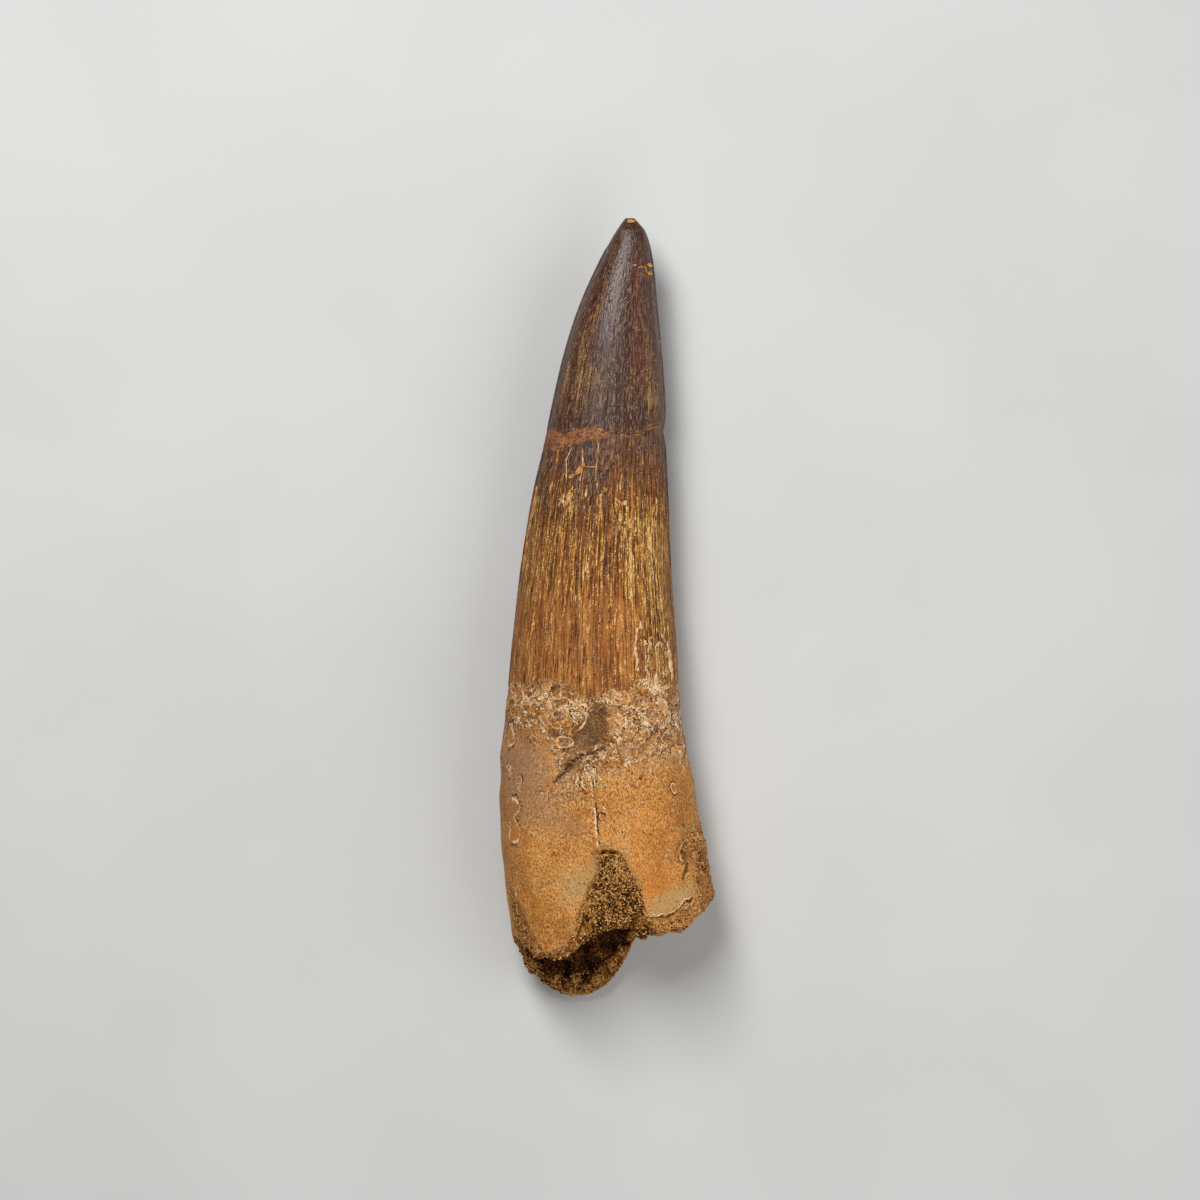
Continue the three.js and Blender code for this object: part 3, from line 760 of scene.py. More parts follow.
# Round a crust's section: the share of its half width and the share of its height.
CRUST_SHAPE = np.array([
    (-1, -0.3), (-0.7, 0.6), (0, 1), (0.7, 0.7), (1, -0.3), (0.6, -1.2), (-0.6, -1.2),
]).T

# Half width, height, tone (0 dark, 0.35 rust, 0.65 tan, 1 cream) and the points that a crust passes.
CRUSTS = [
    (0.10, 0.10, 0.84, [(-6.4, 28.8), (-7.3, 26.5), (-7.5, 24.4), (-7.4, 22.6)]),
    (0.10, 0.10, 0.86, [(-4.5, 28.8), (-4.6, 26.5), (-4.8, 24.4), (-5.2, 20.4)]),
    (0.10, 0.08, 0.80, [(-1.8, 30.1), (-1.8, 27.4), (-2.1, 25.1), (-2.3, 22.6)]),
    (0.09, 0.07, 0.60, [(-8.8, 28.3), (-9.1, 26.2), (-9.3, 24.7)]),
    (0.07, 0.06, 0.80, [(-4.3, 25.3), (-3.2, 25.2), (-2.0, 25.3)]),
    (0.34, 0.20, 0.60, [(-4.1, 25.8), (-4.9, 25.1), (-5.7, 24.0), (-7.0, 23.1)]),
    (0.34, 0.24, 0.62, [(-12.6, 22.1), (-13.6, 17.6), (-14.6, 12.2), (-15.2, 6.0)]),
    (0.30, 0.14, 0.70, [(-6.6, 21.2), (-7.1, 19.8), (-7.6, 18.2)]),
    (0.24, 0.12, 0.90, [(-7.9, 20.6), (-8.1, 19.4), (-7.8, 18.0)]),
    (0.12, 0.10, 0.95, [(-3.9, 9.4), (-3.7, 7.6), (-3.8, 5.4)]),
    (0.36, 0.30, 0.92, [(2.6, 19.1), (2.9, 18.8), (3.1, 18.3)]),
    (0.30, 0.20, 0.66, [(1.5, 19.6), (2.1, 18.9), (2.5, 18.0)]),
    (0.30, 0.18, 0.50, [(-0.9, 21.6), (-0.6, 21.2), (-0.2, 20.9)]),
    (0.34, 0.20, 0.98, [(5.7, -2.1), (5.8, -3.0), (5.9, -3.8)]),
    (0.28, 0.20, 0.94, [(5.4, -3.3), (4.9, -5.2), (4.8, -7.4), (5.2, -9.0), (5.0, -10.6)]),
    (0.24, 0.18, 0.90, [(7.9, -4.9), (7.4, -5.4), (7.5, -6.5), (7.7, -7.4)]),
    (0.26, 0.16, 0.94, [(10.5, -5.6), (11.1, -9.2), (11.4, -12.8)]),
    (0.28, 0.20, 0.88, [(6.6, -10.1), (7.1, -11.4), (7.5, -12.8)]),
    (0.30, 0.22, 0.92, [(8.4, -11.0), (8.6, -12.8), (9.3, -14.6)]),
    (0.24, 0.22, 0.86, [
        (-11.2, -16.3), (-8.0, -15.9), (-5.4, -17.2), (-4.1, -19.0), (-4.4, -20.6), (-6.2, -22.0),
    ]),
    (0.26, 0.18, 0.70, [(-9.5, -21.3), (-10.6, -20.2), (-11.5, -18.6)]),
    (0.34, 0.20, 0.95, [(0.9, -22.6), (1.7, -23.2), (2.6, -22.8)]),
    (0.16, 0.14, 0.90, [(6.4, -54.0), (8.0, -54.5), (9.6, -54.2), (11.4, -54.4)]),
    (0.26, 0.10, 0.58, [(3.3, 69.1), (4.0, 69.2), (4.8, 69.0)]),
    (0.14, 0.12, 0.62, [(4.3, 61.3), (4.7, 61.1), (5.0, 61.2)]),
    (0.16, 0.12, 0.56, [(5.3, 60.6), (5.8, 60.9), (6.2, 60.5)]),
    (0.14, 0.12, 0.60, [(6.5, 61.0), (6.8, 60.4), (6.9, 59.8)]),
    (0.24, 0.26, 0.66, [(7.1, 61.5), (7.4, 61.2), (7.5, 60.8)]),
    (0.16, 0.10, 0.84, [(-17.4, -20.6), (-17.6, -22.0), (-17.4, -23.4)]),
    (0.16, 0.12, 0.84, [(-15.4, -30.6), (-15.9, -32.0), (-15.4, -32.8)]),
    (0.14, 0.12, 0.90, [(-17.5, -27.8), (-17.6, -28.8), (-17.3, -29.6)]),
    (0.10, 0.10, 0.90, [(3.7, -31.0), (3.9, -32.0), (4.1, -33.0)]),
    (0.14, 0.12, 0.70, [(-16.0, -48.8), (-16.3, -51.4), (-15.6, -54.0)]),
]
# x, y, reach across and along, half width, height and tone of crusts that run in a ring.
CRUST_RINGS = [
    (-7.9, -23.7, 1.45, 0.95, 0.26, 0.24, 0.85),
    (-7.9, -26.3, 0.75, 0.70, 0.20, 0.20, 0.55),
    (7.5, 59.8, 0.24, 0.28, 0.15, 0.30, 0.58),
    (2.3, -15.8, 1.4, 1.1, 0.28, 0.18, 0.7),
    (12.4, -25.5, 1.0, 1.0, 0.28, 0.22, 0.72),
    (-8.6, -19.0, 1.4, 1.3, 0.26, 0.16, 0.8),
    (-1.2, -36.8, 0.5, 0.6, 0.15, 0.16, 0.05),
    (13.6, -43.0, 1.0, 2.2, 0.24, 0.22, 0.35),
]


def ring_path(x, y, across, along):
    """Points round an oval, a little past its start."""
    angle = np.linspace(0, 2 * np.pi, 12) + x
    uneven = 1 + 0.12 * np.sin(3 * angle + y)
    return np.stack([x + across * uneven * np.cos(angle), y + along * uneven * np.sin(angle)], -1)


def random_crusts(random):
    """Crusts at random: crooked arcs and broad flakes over the scabby band, thinner ones down the root,
    and thin gold dashes along the dentine."""
    lines = []
    for n in range(BAND_CRUSTS + ROOT_CRUSTS):
        share = random.uniform(0.04, 0.96)
        x = mix(*edges(-20)[:2], share)
        y = mix(-13.4, through(*BAND_LINE, x), random.power(0.9))
        thinning = 1
        if n >= BAND_CRUSTS:
            y = -20 - 24 * random.power(0.6)
            thinning = ROOT_THINNING
        if patch(x, y, *STAIN_OVAL) + line(x, y, DIAGONAL, 1.3) > 0.4:
            continue
        if random.uniform() < 0.7:
            angle = random.uniform(0, 6.28) + random.uniform(1.2, 3.4) * np.linspace(0, 1, 6)
            reach = random.uniform(0.3, 1.5) * random.uniform(0.6, 1.4, 6)
            path = np.stack([x + reach * np.cos(angle), y + reach * np.sin(angle)], -1)
            half, tone = random.uniform(0.07, 0.18), random.uniform(0.4, 1.0)
        else:
            lean, reach = random.uniform(0, 3.1), random.uniform(0.2, 0.9)
            along = np.linspace(-reach, reach, 4)
            path = np.stack([x + along * np.cos(lean), y + along * np.sin(lean)], -1)
            half, tone = random.uniform(0.2, 0.7), random.uniform(0.3, 0.7)
        lines.append((half * thinning, random.uniform(0.08, 0.22), tone, path))
    for _ in range(GOLD_DASHES):
        y = random.uniform(-10, 23)
        share = random.uniform(0.06, 0.95)
        along = np.linspace(-1, 1, 5) * random.uniform(0.5, 1.8)
        path = [(mix(*edges(y + step)[:2], share), y + step) for step in along]
        half, high = random.uniform(0.08, 0.16), random.uniform(0.04, 0.09)
        lines.append((half, high, random.uniform(0.45, 0.7), path))
    return lines


def make_crusts(random):
    """All crusts as one mesh of closed tubes that lie on the tooth. Their sections narrow to nothing at
    both ends, and they dip under the tooth's face here and there, so that they look broken up."""
    lines = list(CRUSTS)
    lines += [(wide, high, tone, ring_path(*oval)) for *oval, wide, high, tone in CRUST_RINGS]
    lines += random_crusts(random)
    share = np.linspace(0.012, 0.988, CRUST_SECTIONS)
    track = []
    for *_, path in lines:
        x, y = np.array(path, float).T
        gone = np.concatenate([[0], np.cumsum(np.hypot(np.diff(x), np.diff(y)))])
        track.append([through(gone, x, share * gone[-1]), through(gone, y, share * gone[-1])])
    x, y = np.moveaxis(np.array(track), 1, 0)
    x = x + 0.14 * lumps(x, y, 0, 0.8, 91)
    y = y + 0.14 * lumps(x, y, 0, 0.8, 92)
    wide, high, tone = np.array([line[:3] for line in lines]).T[:, :, None, None]
    dx, dy = np.gradient(x, axis=1), np.gradient(y, axis=1)
    length = np.hypot(dx, dy) + 1e-6
    narrow = np.sqrt(1 - (2 * share - 1) ** 4)[:, None]
    half = wide * narrow * (1 + 0.7 * lumps(x, y, 0, 0.5, 93)[..., None])
    point_x = x[..., None] - (dy / length)[..., None] * half * CRUST_SHAPE[0]
    point_y = y[..., None] + (dx / length)[..., None] * half * CRUST_SHAPE[0]
    dip = 0.9 * lumps(point_x, point_y, 0, 0.55, 94) - 0.15
    rings = skin(turn_over(point_x, point_y), point_y, RIM_Y, high * narrow * (CRUST_SHAPE[1] + dip))

    count, around = len(lines), CRUST_SHAPE.shape[1]
    ends = rings[:, [0, -1]].mean(2)
    points = np.concatenate([ends[:, :1], rings.reshape(count, -1, 3), ends[:, 1:]], axis=1)
    offsets = (np.arange(count) * points.shape[1])[:, None, None]
    parts = ring_faces(CRUST_SECTIONS, around)
    faces = [(part[None, :, ::-1] + offsets).reshape(-1, part.shape[1]) for part in parts]
    tones = np.repeat(tone.ravel(), points.shape[1])
    return mesh_object("clay_crusts", points.reshape(-1, 3), faces, {"tone": tones})


# ---------------------------------------------------------------- the sand in the root

SAND_ROWS = 300
SAND_ACROSS = 190
SAND_BEHIND = 24  # points across the hidden back of each ring
SAND_BACK_OFF = 2.2  # how far the hidden back lies inside

# y, z, left, right of the sand's visible face, from the notch's top over the lip, down into the
# hollow's undercut and out along the back wall.
SAND_PATH = np.array([
    (-42.8, 25.0, -1.2, 1.7),
    (-46.0, 25.0, -1.2, 3.7),
    (-50.0, 24.9, -3.3, 5.6),
    (-54.0, 24.8, -4.1, 7.0),
    (-56.0, 24.4, -5.3, 8.2),
    (-56.9, 23.4, -6.6, 8.6),
    (-56.7, 22.0, -8.6, 8.4),
    (-55.4, 19.6, -12.4, 8.0),
    (-53.9, 17.4, -14.2, 8.0),
    (-53.7, 15.4, -14.9, 7.8),
    (-56.0, 13.4, -15.4, 6.2),
    (-59.6, 11.0, -15.4, 4.4),
    (-62.8, 8.6, -14.4, 2.4),
    (-65.6, 6.4, -12.2, 0.4),
    (-67.4, 4.4, -10.0, -1.8),
    (-68.2, 2.6, -8.4, -3.8),
]).T


def section_top(x, y):
    """The height of the tooth's plain oval over a point seen from above."""
    _, _, under, top = edges(y)
    return (top + under) / 2 + (top - under) / 2 * np.sin(turn_over(x, y)) ** SECTION_POWER


def sand_sheet(row, across):
    """A point of the sand's face. row runs along the path, by its length, and across from the left edge
    to the right one. On the notch the height follows the root's face, a little under it."""
    step = np.hypot(np.diff(SAND_PATH[0]), np.diff(SAND_PATH[1]))
    travelled = np.concatenate([[0], np.cumsum(step)])
    at = row * travelled[-1]
    y, z, left, right = [through(travelled, column, at) for column in SAND_PATH]
    x = mix(left, right, across)
    on_face = smooth(z, 22.6, 24.0)
    furrow = FURROW_DEPTH * bump(x + 1.2 + 0.02 * (y + 40), 3.2)
    sunk = 0.3 + 0.5 * smooth(-y, 46, 56) * (1 - (2 * across - 1) ** 2) + 0.8 * furrow
    z = z + on_face * (section_top(x, y) - sunk - 24.6)
    lip = 1.3 * bump(x - 5.6, 2.0) + 1.9 * smooth(-x, 0.0, 4.4) - 0.8 * bump(x - 1.6, 1.8)
    lip = lip + 0.7 * lumps(x, 0, 0, 1.3, 88)
    y = y - lip * smooth(z, 18, 21.5) * smooth(-y, 54, 56.5)
    y = y + 0.035 * (x + 5) ** 2 * (1 - smooth(z, 3, 14)) * 0.3
    return np.stack(np.broadcast_arrays(x, y, z), -1)


def normals(sheet):
    """The direction across a grid of points: the cross product of its two neighbour differences."""
    cross = np.cross(np.gradient(sheet, axis=0), np.gradient(sheet, axis=1))
    return cross / np.linalg.norm(cross, axis=-1, keepdims=True)


def recess_shading(x, y, z):
    """How much painted shade, darker and redder, the sand takes: fully right under the front wall's edge,
    less out along the back wall, and least at the back wall's own edge."""
    close = smooth(y - through(*FRONT_EDGE, x), -6.0, -1.0)
    rim = 1 - smooth(y - through(*BACK_EDGE, x), 1.5, 6.0)
    return smooth(-z, -22, -15) * np.clip(0.7 + 0.6 * close - 1.1 * rim, 0, 1)


def make_sand():
    """The sand as closed rings along its path: each ring crosses the granular face from left to right
    and comes back behind it. Its slope on the back wall carries wavy ridges that run out to the tongue."""
    row = np.linspace(0, 1, SAND_ROWS)[:, None]
    across = np.linspace(0, 1, SAND_ACROSS)[None]
    front = sand_sheet(row, across)
    out = normals(front)
    x, y, z = np.moveaxis(front, -1, 0)
    slope = 1 - smooth(z, 9, 15)
    ridges = np.abs(np.sin(0.7 * x + 0.25 * y + 2.4 * lumps(x, y, z, 3.2, 85))) ** 0.7 - 0.6
    ridges += 0.7 * rough(x, y, z, 2.0, 2, 89)
    grain = 0.22 * rough(x, y, z, 2.4, 2, 81) + 0.22 * lumps(x, y, z, 0.45, 83)
    hollow = 0.9 * lumps(x, y, z, 4.5, 87) * smooth(24.0 - z, 0, 3)
    front = front + out * (grain + hollow + slope * ridges)[..., None]

    back = sand_sheet(row, np.linspace(1, 0, SAND_BEHIND)[None])
    back = back - SAND_BACK_OFF * normals(back[:, ::-1])[:, ::-1]
    rings = np.concatenate([front, back], axis=1)[::-1]
    first, last = rings[0].mean(0), rings[-1].mean(0)
    # the relief's height goes to the finish as proud, where it paints shade in the pits and light on the tops
    grain = grain + 0.45 * slope * ridges
    depth = np.concatenate([grain, np.zeros_like(back[..., 0])], axis=1)[::-1]
    # recess_shade is painted shade down in the hollow
    masks = {"proud": depth, "recess_shade": recess_shading(*np.moveaxis(rings, -1, 0))}
    piece = ring_piece("sandstone_fill", rings, first, last, masks)
    return piece, front, out


GRAIN_RINGS = 2
GRAIN_AROUND = 5
SAND_GRAINS = 7600
SAND_GRAIN_SIZES = (0.09, 0.22)  # smallest and largest
BREAK_GRAINS = 4000
BREAK_GRAIN_SIZES = (0.10, 0.24)
BARE_ROWS = 6  # rows and columns along the sand's edges that carry no grains
BARE_COLUMNS = 3


def grain_shape():
    """A grain of twenty faces: two rings of five on a ball at a latitude of 26.6 degrees, the second
    turned by half a step, between two poles."""
    latitude = np.arctan(0.5)
    k = 2 * np.pi * np.arange(GRAIN_AROUND) / GRAIN_AROUND

    def ring(turn, side):
        level = np.full(GRAIN_AROUND, side * np.sin(latitude))
        return np.stack([np.cos(latitude) * np.cos(turn), np.cos(latitude) * np.sin(turn), level], -1)

    rings = np.stack([ring(k, 1), ring(k + np.pi / GRAIN_AROUND, -1)])
    return closed_rings(np.array([0, 0, 1.0]), rings, np.array([0, 0, -1.0]))


def random_turns(random, count):
    """One turning matrix for each grain, from a random quaternion of length one."""
    q = random.normal(size=(count, 4))
    w, x, y, z = (q / np.linalg.norm(q, axis=1, keepdims=True)).T
    rows = [
        [1 - 2 * (y * y + z * z), 2 * (x * y - z * w), 2 * (x * z + y * w)],
        [2 * (x * y + z * w), 1 - 2 * (x * x + z * z), 2 * (y * z - x * w)],
        [2 * (x * z - y * w), 2 * (y * z + x * w), 1 - 2 * (x * x + y * y)],
    ]
    return np.moveaxis(np.array(rows), -1, 0)


def make_grains(name, random, places, out, sizes):
    """Loose grains as one joined mesh: each a twenty-faced ball, uneven, stretched and turned at random,
    sunk by a third of its size at its place. Each carries a tone of its own."""
    count = len(places)
    ball = grain_shape()
    uneven = random.uniform(0.75, 1.2, (count, len(ball), 1))
    stretch = random.uniform(0.7, 1.2, (count, 1, 3))
    points = ball[None] * uneven * stretch * sizes[:, None, None]
    points = np.einsum("nij,nkj->nki", random_turns(random, count), points)
    points = points + (places + out * sizes[:, None] * 0.35)[:, None]
    quads, fans = ring_faces(GRAIN_RINGS, GRAIN_AROUND)
    offsets = (np.arange(count) * len(ball))[:, None, None]
    faces = [(part[None] + offsets).reshape(-1, part.shape[1]) for part in (quads, fans)]
    tone = np.repeat(random.uniform(0, 1, count), len(ball))
    # painted shade for the grains that lie down in the hollow
    recess_shade = np.repeat(recess_shading(*places.T), len(ball))
    return mesh_object(name, points.reshape(-1, 3), faces, {"tone": tone, "recess_shade": recess_shade})


def sand_grain_places(random, front, out, count):
    """Random places on the sand's face, more of them on the notch, each with its outward direction."""
    rows, columns = front.shape[:2]
    row = (random.power(0.54, count) * (rows - 2 * BARE_ROWS)).astype(int) + BARE_ROWS
    column = random.integers(BARE_COLUMNS, columns - BARE_COLUMNS, count)
    shift = random.normal(0, 0.05, (count, 3))
    return front[row, column] + shift, out[row, column]


def break_grain_places(random, rings, share, count):
    """Random places on the tooth's granular break and margins, as often as each place is granular."""
    out = normals(rings)
    weight = share * (rings[..., 2] > 1.0) * (rings[..., 1] > -69.2)
    weight[: SKIN_ROWS // 2] = 0
    weight[-HOLLOW_ROWS:] = 0
    span = np.linalg.norm(np.gradient(rings, axis=0), axis=-1)
    span = span * np.linalg.norm(np.gradient(rings, axis=1), axis=-1)
    chance = (weight**2 * span).ravel()
    chosen = random.choice(chance.size, count, p=chance / chance.sum())
    return rings.reshape(-1, 3)[chosen], out.reshape(-1, 3)[chosen]


# ---------------------------------------------------------------- materials

OCHRE = (0.50, 0.205, 0.036)
OCHRE_LIGHT = (0.63, 0.31, 0.087)
OCHRE_BROWN = (0.21, 0.070, 0.010)
ORANGE = (0.50, 0.160, 0.018)
GREEN_GREY = (0.40, 0.26, 0.105)
LILAC_GREY = (0.25, 0.145, 0.090)
STAIN = (0.12, 0.058, 0.016)
EARTH = (0.33, 0.120, 0.022)
CREAM = (0.76, 0.55, 0.32)
PALE_TAN = (0.52, 0.31, 0.13)
TAN = (0.33, 0.155, 0.055)
BAND_BROWN = (0.14, 0.052, 0.011)
NEAR_BLACK = (0.008, 0.003, 0.001)
DARK_BROWN = (0.042, 0.013, 0.003)
RED_BROWN = (0.16, 0.048, 0.009)
RUST = (0.26, 0.083, 0.014)
CLAY_RED = (0.35, 0.122, 0.026)
EARTH_GOLD = (0.42, 0.170, 0.038)
GOLD = (0.44, 0.195, 0.030)
STRAW = (0.72, 0.47, 0.15)
BUFF = (0.38, 0.20, 0.085)
OLIVE = (0.17, 0.090, 0.022)
CLAY_GOLD = (0.38, 0.19, 0.055)
MAROON = (0.060, 0.010, 0.004)
PLUM = (0.042, 0.014, 0.008)
PLUM_GREY = (0.074, 0.035, 0.023)
MAROON_DARK = (0.020, 0.006, 0.003)
GLINT_AND_FLECK_GREY = (0.22, 0.135, 0.085)
PLATE_BROWN = (0.105, 0.040, 0.021)
PLATE_TAN = (0.19, 0.095, 0.052)
WINE = (0.120, 0.023, 0.010)
TERRACOTTA = (0.20, 0.060, 0.026)
SAND_DARK = (0.040, 0.012, 0.002)
SAND_GOLD = (0.40, 0.175, 0.035)
SAND_PALE = (0.62, 0.38, 0.13)


class Finish:
    """A material, and short words for the nodes that make it up. Numbers and sockets can both go in."""

    def __init__(self, name):
        self.material = bpy.data.materials.new(name)
        self.material.use_nodes = True
        self.nodes = self.material.node_tree.nodes
        self.links = self.material.node_tree.links
        self.nodes.clear()

    def put(self, socket, value):
        if isinstance(value, bpy.types.NodeSocket):
            self.links.new(value, socket)
        elif isinstance(value, tuple) and len(value) == 3 and socket.type == "RGBA":
            socket.default_value = (*value, 1)
        else:
            socket.default_value = value

    def node(self, kind, out=0, settings=None, **inputs):
        """A node of a kind with its settings and its named inputs, and the socket it gives out."""
        made = self.nodes.new("ShaderNode" + kind)
        for key, value in (settings or {}).items():
            setattr(made, key, value)
        for key, value in inputs.items():
            self.put(made.inputs[key.replace("_", " ")], value)
        return made.outputs[out]

    def mask(self, name):
        return self.node("Attribute", 2, {"attribute_name": name})

    def place(self):
        """Object coordinates in millimetres."""
        where = self.node("TexCoord", 3)
        return self.node("Mapping", Vector=where, Scale=(1 / MM, 1 / MM, 1 / MM))

    def way(self, across, along):
        """The coordinates that the grain follows, scaled by a count per millimetre each way."""
        where = self.node("Attribute", 1, {"attribute_name": "way"})
        return self.node("Mapping", Vector=where, Scale=(across, along, across))

    def noise(self, where, scale=1.0, detail=2.0, roughness=0.5, warp=0.0):
        """Noise centred on 0, two thirds of it between -1 and 1."""
        raw = self.node(
            "TexNoise", 0, Vector=where, Scale=scale, Detail=detail, Roughness=roughness, Distortion=warp
        )
        return self.math("MULTIPLY_ADD", raw, 10.0, -5.0)

    def cells(self, where, scale, out=0):
        """Voronoi cells: out 0 is the distance, and out 1 a colour for each cell."""
        return self.node("TexVoronoi", out, Vector=where, Scale=scale)

    def comb(self, lines, wander):
        """Evenly spaced fine grooves along the tooth: -1 in their floors and 0.7 on the ridges between.
        The count of lines round the tooth times half the turn, shifted by a wander, goes into a sine."""
        where = self.node("Attribute", 1, {"attribute_name": "way"})
        parts = self.nodes.new("ShaderNodeSeparateXYZ")
        self.put(parts.inputs[0], where)
        turn = self.math("ARCTAN2", parts.outputs[2], parts.outputs[0])
        phase = self.math("ADD", self.math("MULTIPLY", turn, lines / 2), wander)
        ridge = self.math("POWER", self.math("ABSOLUTE", self.math("SINE", phase)), 0.6)
        return self.math("MULTIPLY_ADD", ridge, 1.7, -1.0)

    def sum(self, *parts):
        """A sum of sockets or numbers, or of pairs that are a socket and its weight."""
        total = None
        for part in parts:
            value = part
            if isinstance(part, tuple):
                value = self.math("MULTIPLY", *part)
            total = value if total is None else self.math("ADD", total, value)
        return total

    def math(self, operation, *values, clamp=False):
        made = self.nodes.new("ShaderNodeMath")
        made.operation = operation
        made.use_clamp = clamp
        for socket, value in zip(made.inputs, values):
            self.put(socket, value)
        return made.outputs[0]

    def both(self, a, b):
        """The product of two shares."""
        return self.math("MULTIPLY", a, b, clamp=True)

    def step(self, value, low, high):
        """An S-shaped step from 0 at low to 1 at high."""
        made = self.nodes.new("ShaderNodeMapRange")
        made.interpolation_type = "SMOOTHSTEP"
        for key, given in (("Value", value), ("From Min", low), ("From Max", high)):
            self.put(made.inputs[key], given)
        return made.outputs[0]

    def blend(self, share, a, b):
        """Colour a where share is 0 and colour b where it is 1."""
        made = self.nodes.new("ShaderNodeMix")
        made.data_type = "RGBA"
        for key, given in ((0, share), (6, a), (7, b)):
            self.put(made.inputs[key], given)
        return made.outputs[2]

    def ramp(self, value, *stops):
        """Colours at places along a value from -3 to 3, blended between."""
        made = self.nodes.new("ShaderNodeValToRGB")
        elements = made.color_ramp.elements
        while len(elements) < len(stops):
            elements.new(0.5)
        for element, (place, colour) in zip(elements, stops):
            element.position = (place + 3) / 6
            element.color = (*colour, 1)
        self.put(made.inputs[0], self.math("MULTIPLY_ADD", value, 1 / 6, 0.5))
        return made.outputs[0]

    def shade(self, colour, roughness, height, specular=0.5, bump_strength=1.0):
        """The surface: colour, roughness, and a relief whose height is in millimetres."""
        normal = self.node("Bump", Strength=bump_strength, Distance=MM, Height=height)
        made = self.nodes.new("ShaderNodeBsdfPrincipled")
        self.put(made.inputs["Base Color"], colour)
        self.put(made.inputs["Roughness"], roughness)
        self.put(made.inputs["Specular IOR Level"], specular)
        self.put(made.inputs["Normal"], normal)
        output = self.nodes.new("ShaderNodeOutputMaterial")
        self.links.new(made.outputs[0], output.inputs["Surface"])
        return self.material


def sandy(f, tone):
    """Colours of sand and bare break by tone: near black in the gaps as painted shade, then ochre, gold and a
    little pale; all of them are painted darker and redder as shade down in the hollow."""
    open_sand = f.ramp(
        tone, (-1.6, NEAR_BLACK), (-0.7, SAND_DARK), (0.2, OCHRE_BROWN), (1.2, SAND_GOLD), (2.4, SAND_PALE)
    )
    shaded_sand = f.ramp(tone, (-1.6, NEAR_BLACK), (0.0, DARK_BROWN), (1.3, RED_BROWN), (2.8, GOLD))
    return f.blend(f.step(f.mask("recess_shade"), 0.0, 0.6), open_sand, shaded_sand)


def sand_finish():
    """Cemented sand toned by its own relief: painted shade in its pits and painted light, gold, on what
    stands proud.
    """
    f = Finish("sandstone_finish")
    place = f.place()
    cell = f.math("MULTIPLY_ADD", f.cells(place, 3.2, 1), 3.0, -1.5)
    dust = f.noise(place, 2.8, 1)
    # the relief's height lifts the tone: painted light on the proud tops, painted shade in the pits
    tone = f.sum((cell, 0.3), (dust, 0.4), (f.mask("proud"), 3.0), (f.noise(place, 0.5, 3), 0.4))
    height = f.sum((f.cells(place, 3.2), -0.25), (dust, 0.02))
    return f.shade(sandy(f, tone), 0.9, height, specular=0.08)


def grain_finish():
    """Loose grains, each of one tone from dark brown through gold to pale."""
    f = Finish("grain_finish")
    # recess_shade paints the grains darker as shade down in the hollow
    tone = f.sum((f.mask("tone"), 5.0), (f.noise(f.place(), 0.6, 3), 0.4), (f.mask("recess_shade"), -1.3), -1.7)
    return f.shade(sandy(f, tone), 0.8, f.noise(f.place(), 6.0, 2), specular=0.12, bump_strength=0.02)


def crust_finish():
    """Clay crusts by tone: dark, rust, tan and cream, each mottled and rough."""
    f = Finish("crust_finish")
    place = f.place()
    grain = f.noise(place, 2.6, 3, 0.65)
    tone = f.sum((f.mask("tone"), 4.4), (grain, 0.7), (f.noise(place, 0.9, 2), 0.4), -2.4)
    colour = f.ramp(tone, (-2.4, DARK_BROWN), (-1.0, RUST), (0.4, OCHRE), (1.3, PALE_TAN), (2.6, CREAM))
    return f.shade(colour, 0.8, grain, specular=0.3, bump_strength=0.03)


def root_colours(f, cloud, blotch, grain, dust):
    """Ochre in soft clouds, with fine dark dashes that run along the tooth."""
    dash = f.noise(f.way(5.4, 2.2), detail=2, roughness=0.6)
    tone = f.sum((cloud, 0.4), (blotch, 0.45), (dash, -0.8), (dust, 0.6), (grain, 0.3))
    root = f.ramp(tone, (-2.4, RUST), (-1.1, EARTH), (-0.1, OCHRE), (1.5, OCHRE_LIGHT), (2.9, CREAM))
    # painted shade along the root's side edges, with brown of its own
    root = f.blend(f.both(f.mask("brown_and_edge_shade"), 0.6), root, f.ramp(tone, (-1.5, BAND_BROWN), (1.5, EARTH)))
    root = f.blend(f.both(f.mask("orange"), f.sum((grain, 0.2), 0.8)), root, ORANGE)
    root = f.blend(f.both(f.mask("greened"), f.sum((dust, 0.12), 0.75)), root, GREEN_GREY)
    busy = f.sum((dash, 0.9), (grain, 0.3), (blotch, 0.4), (f.mask("freckled"), 0.5))
    root = f.blend(f.both(f.step(busy, 0.7, 1.1), 0.4), root, OCHRE_BROWN)
    return f.blend(f.both(f.step(busy, 1.8, 2.1), 0.7), root, DARK_BROWN)


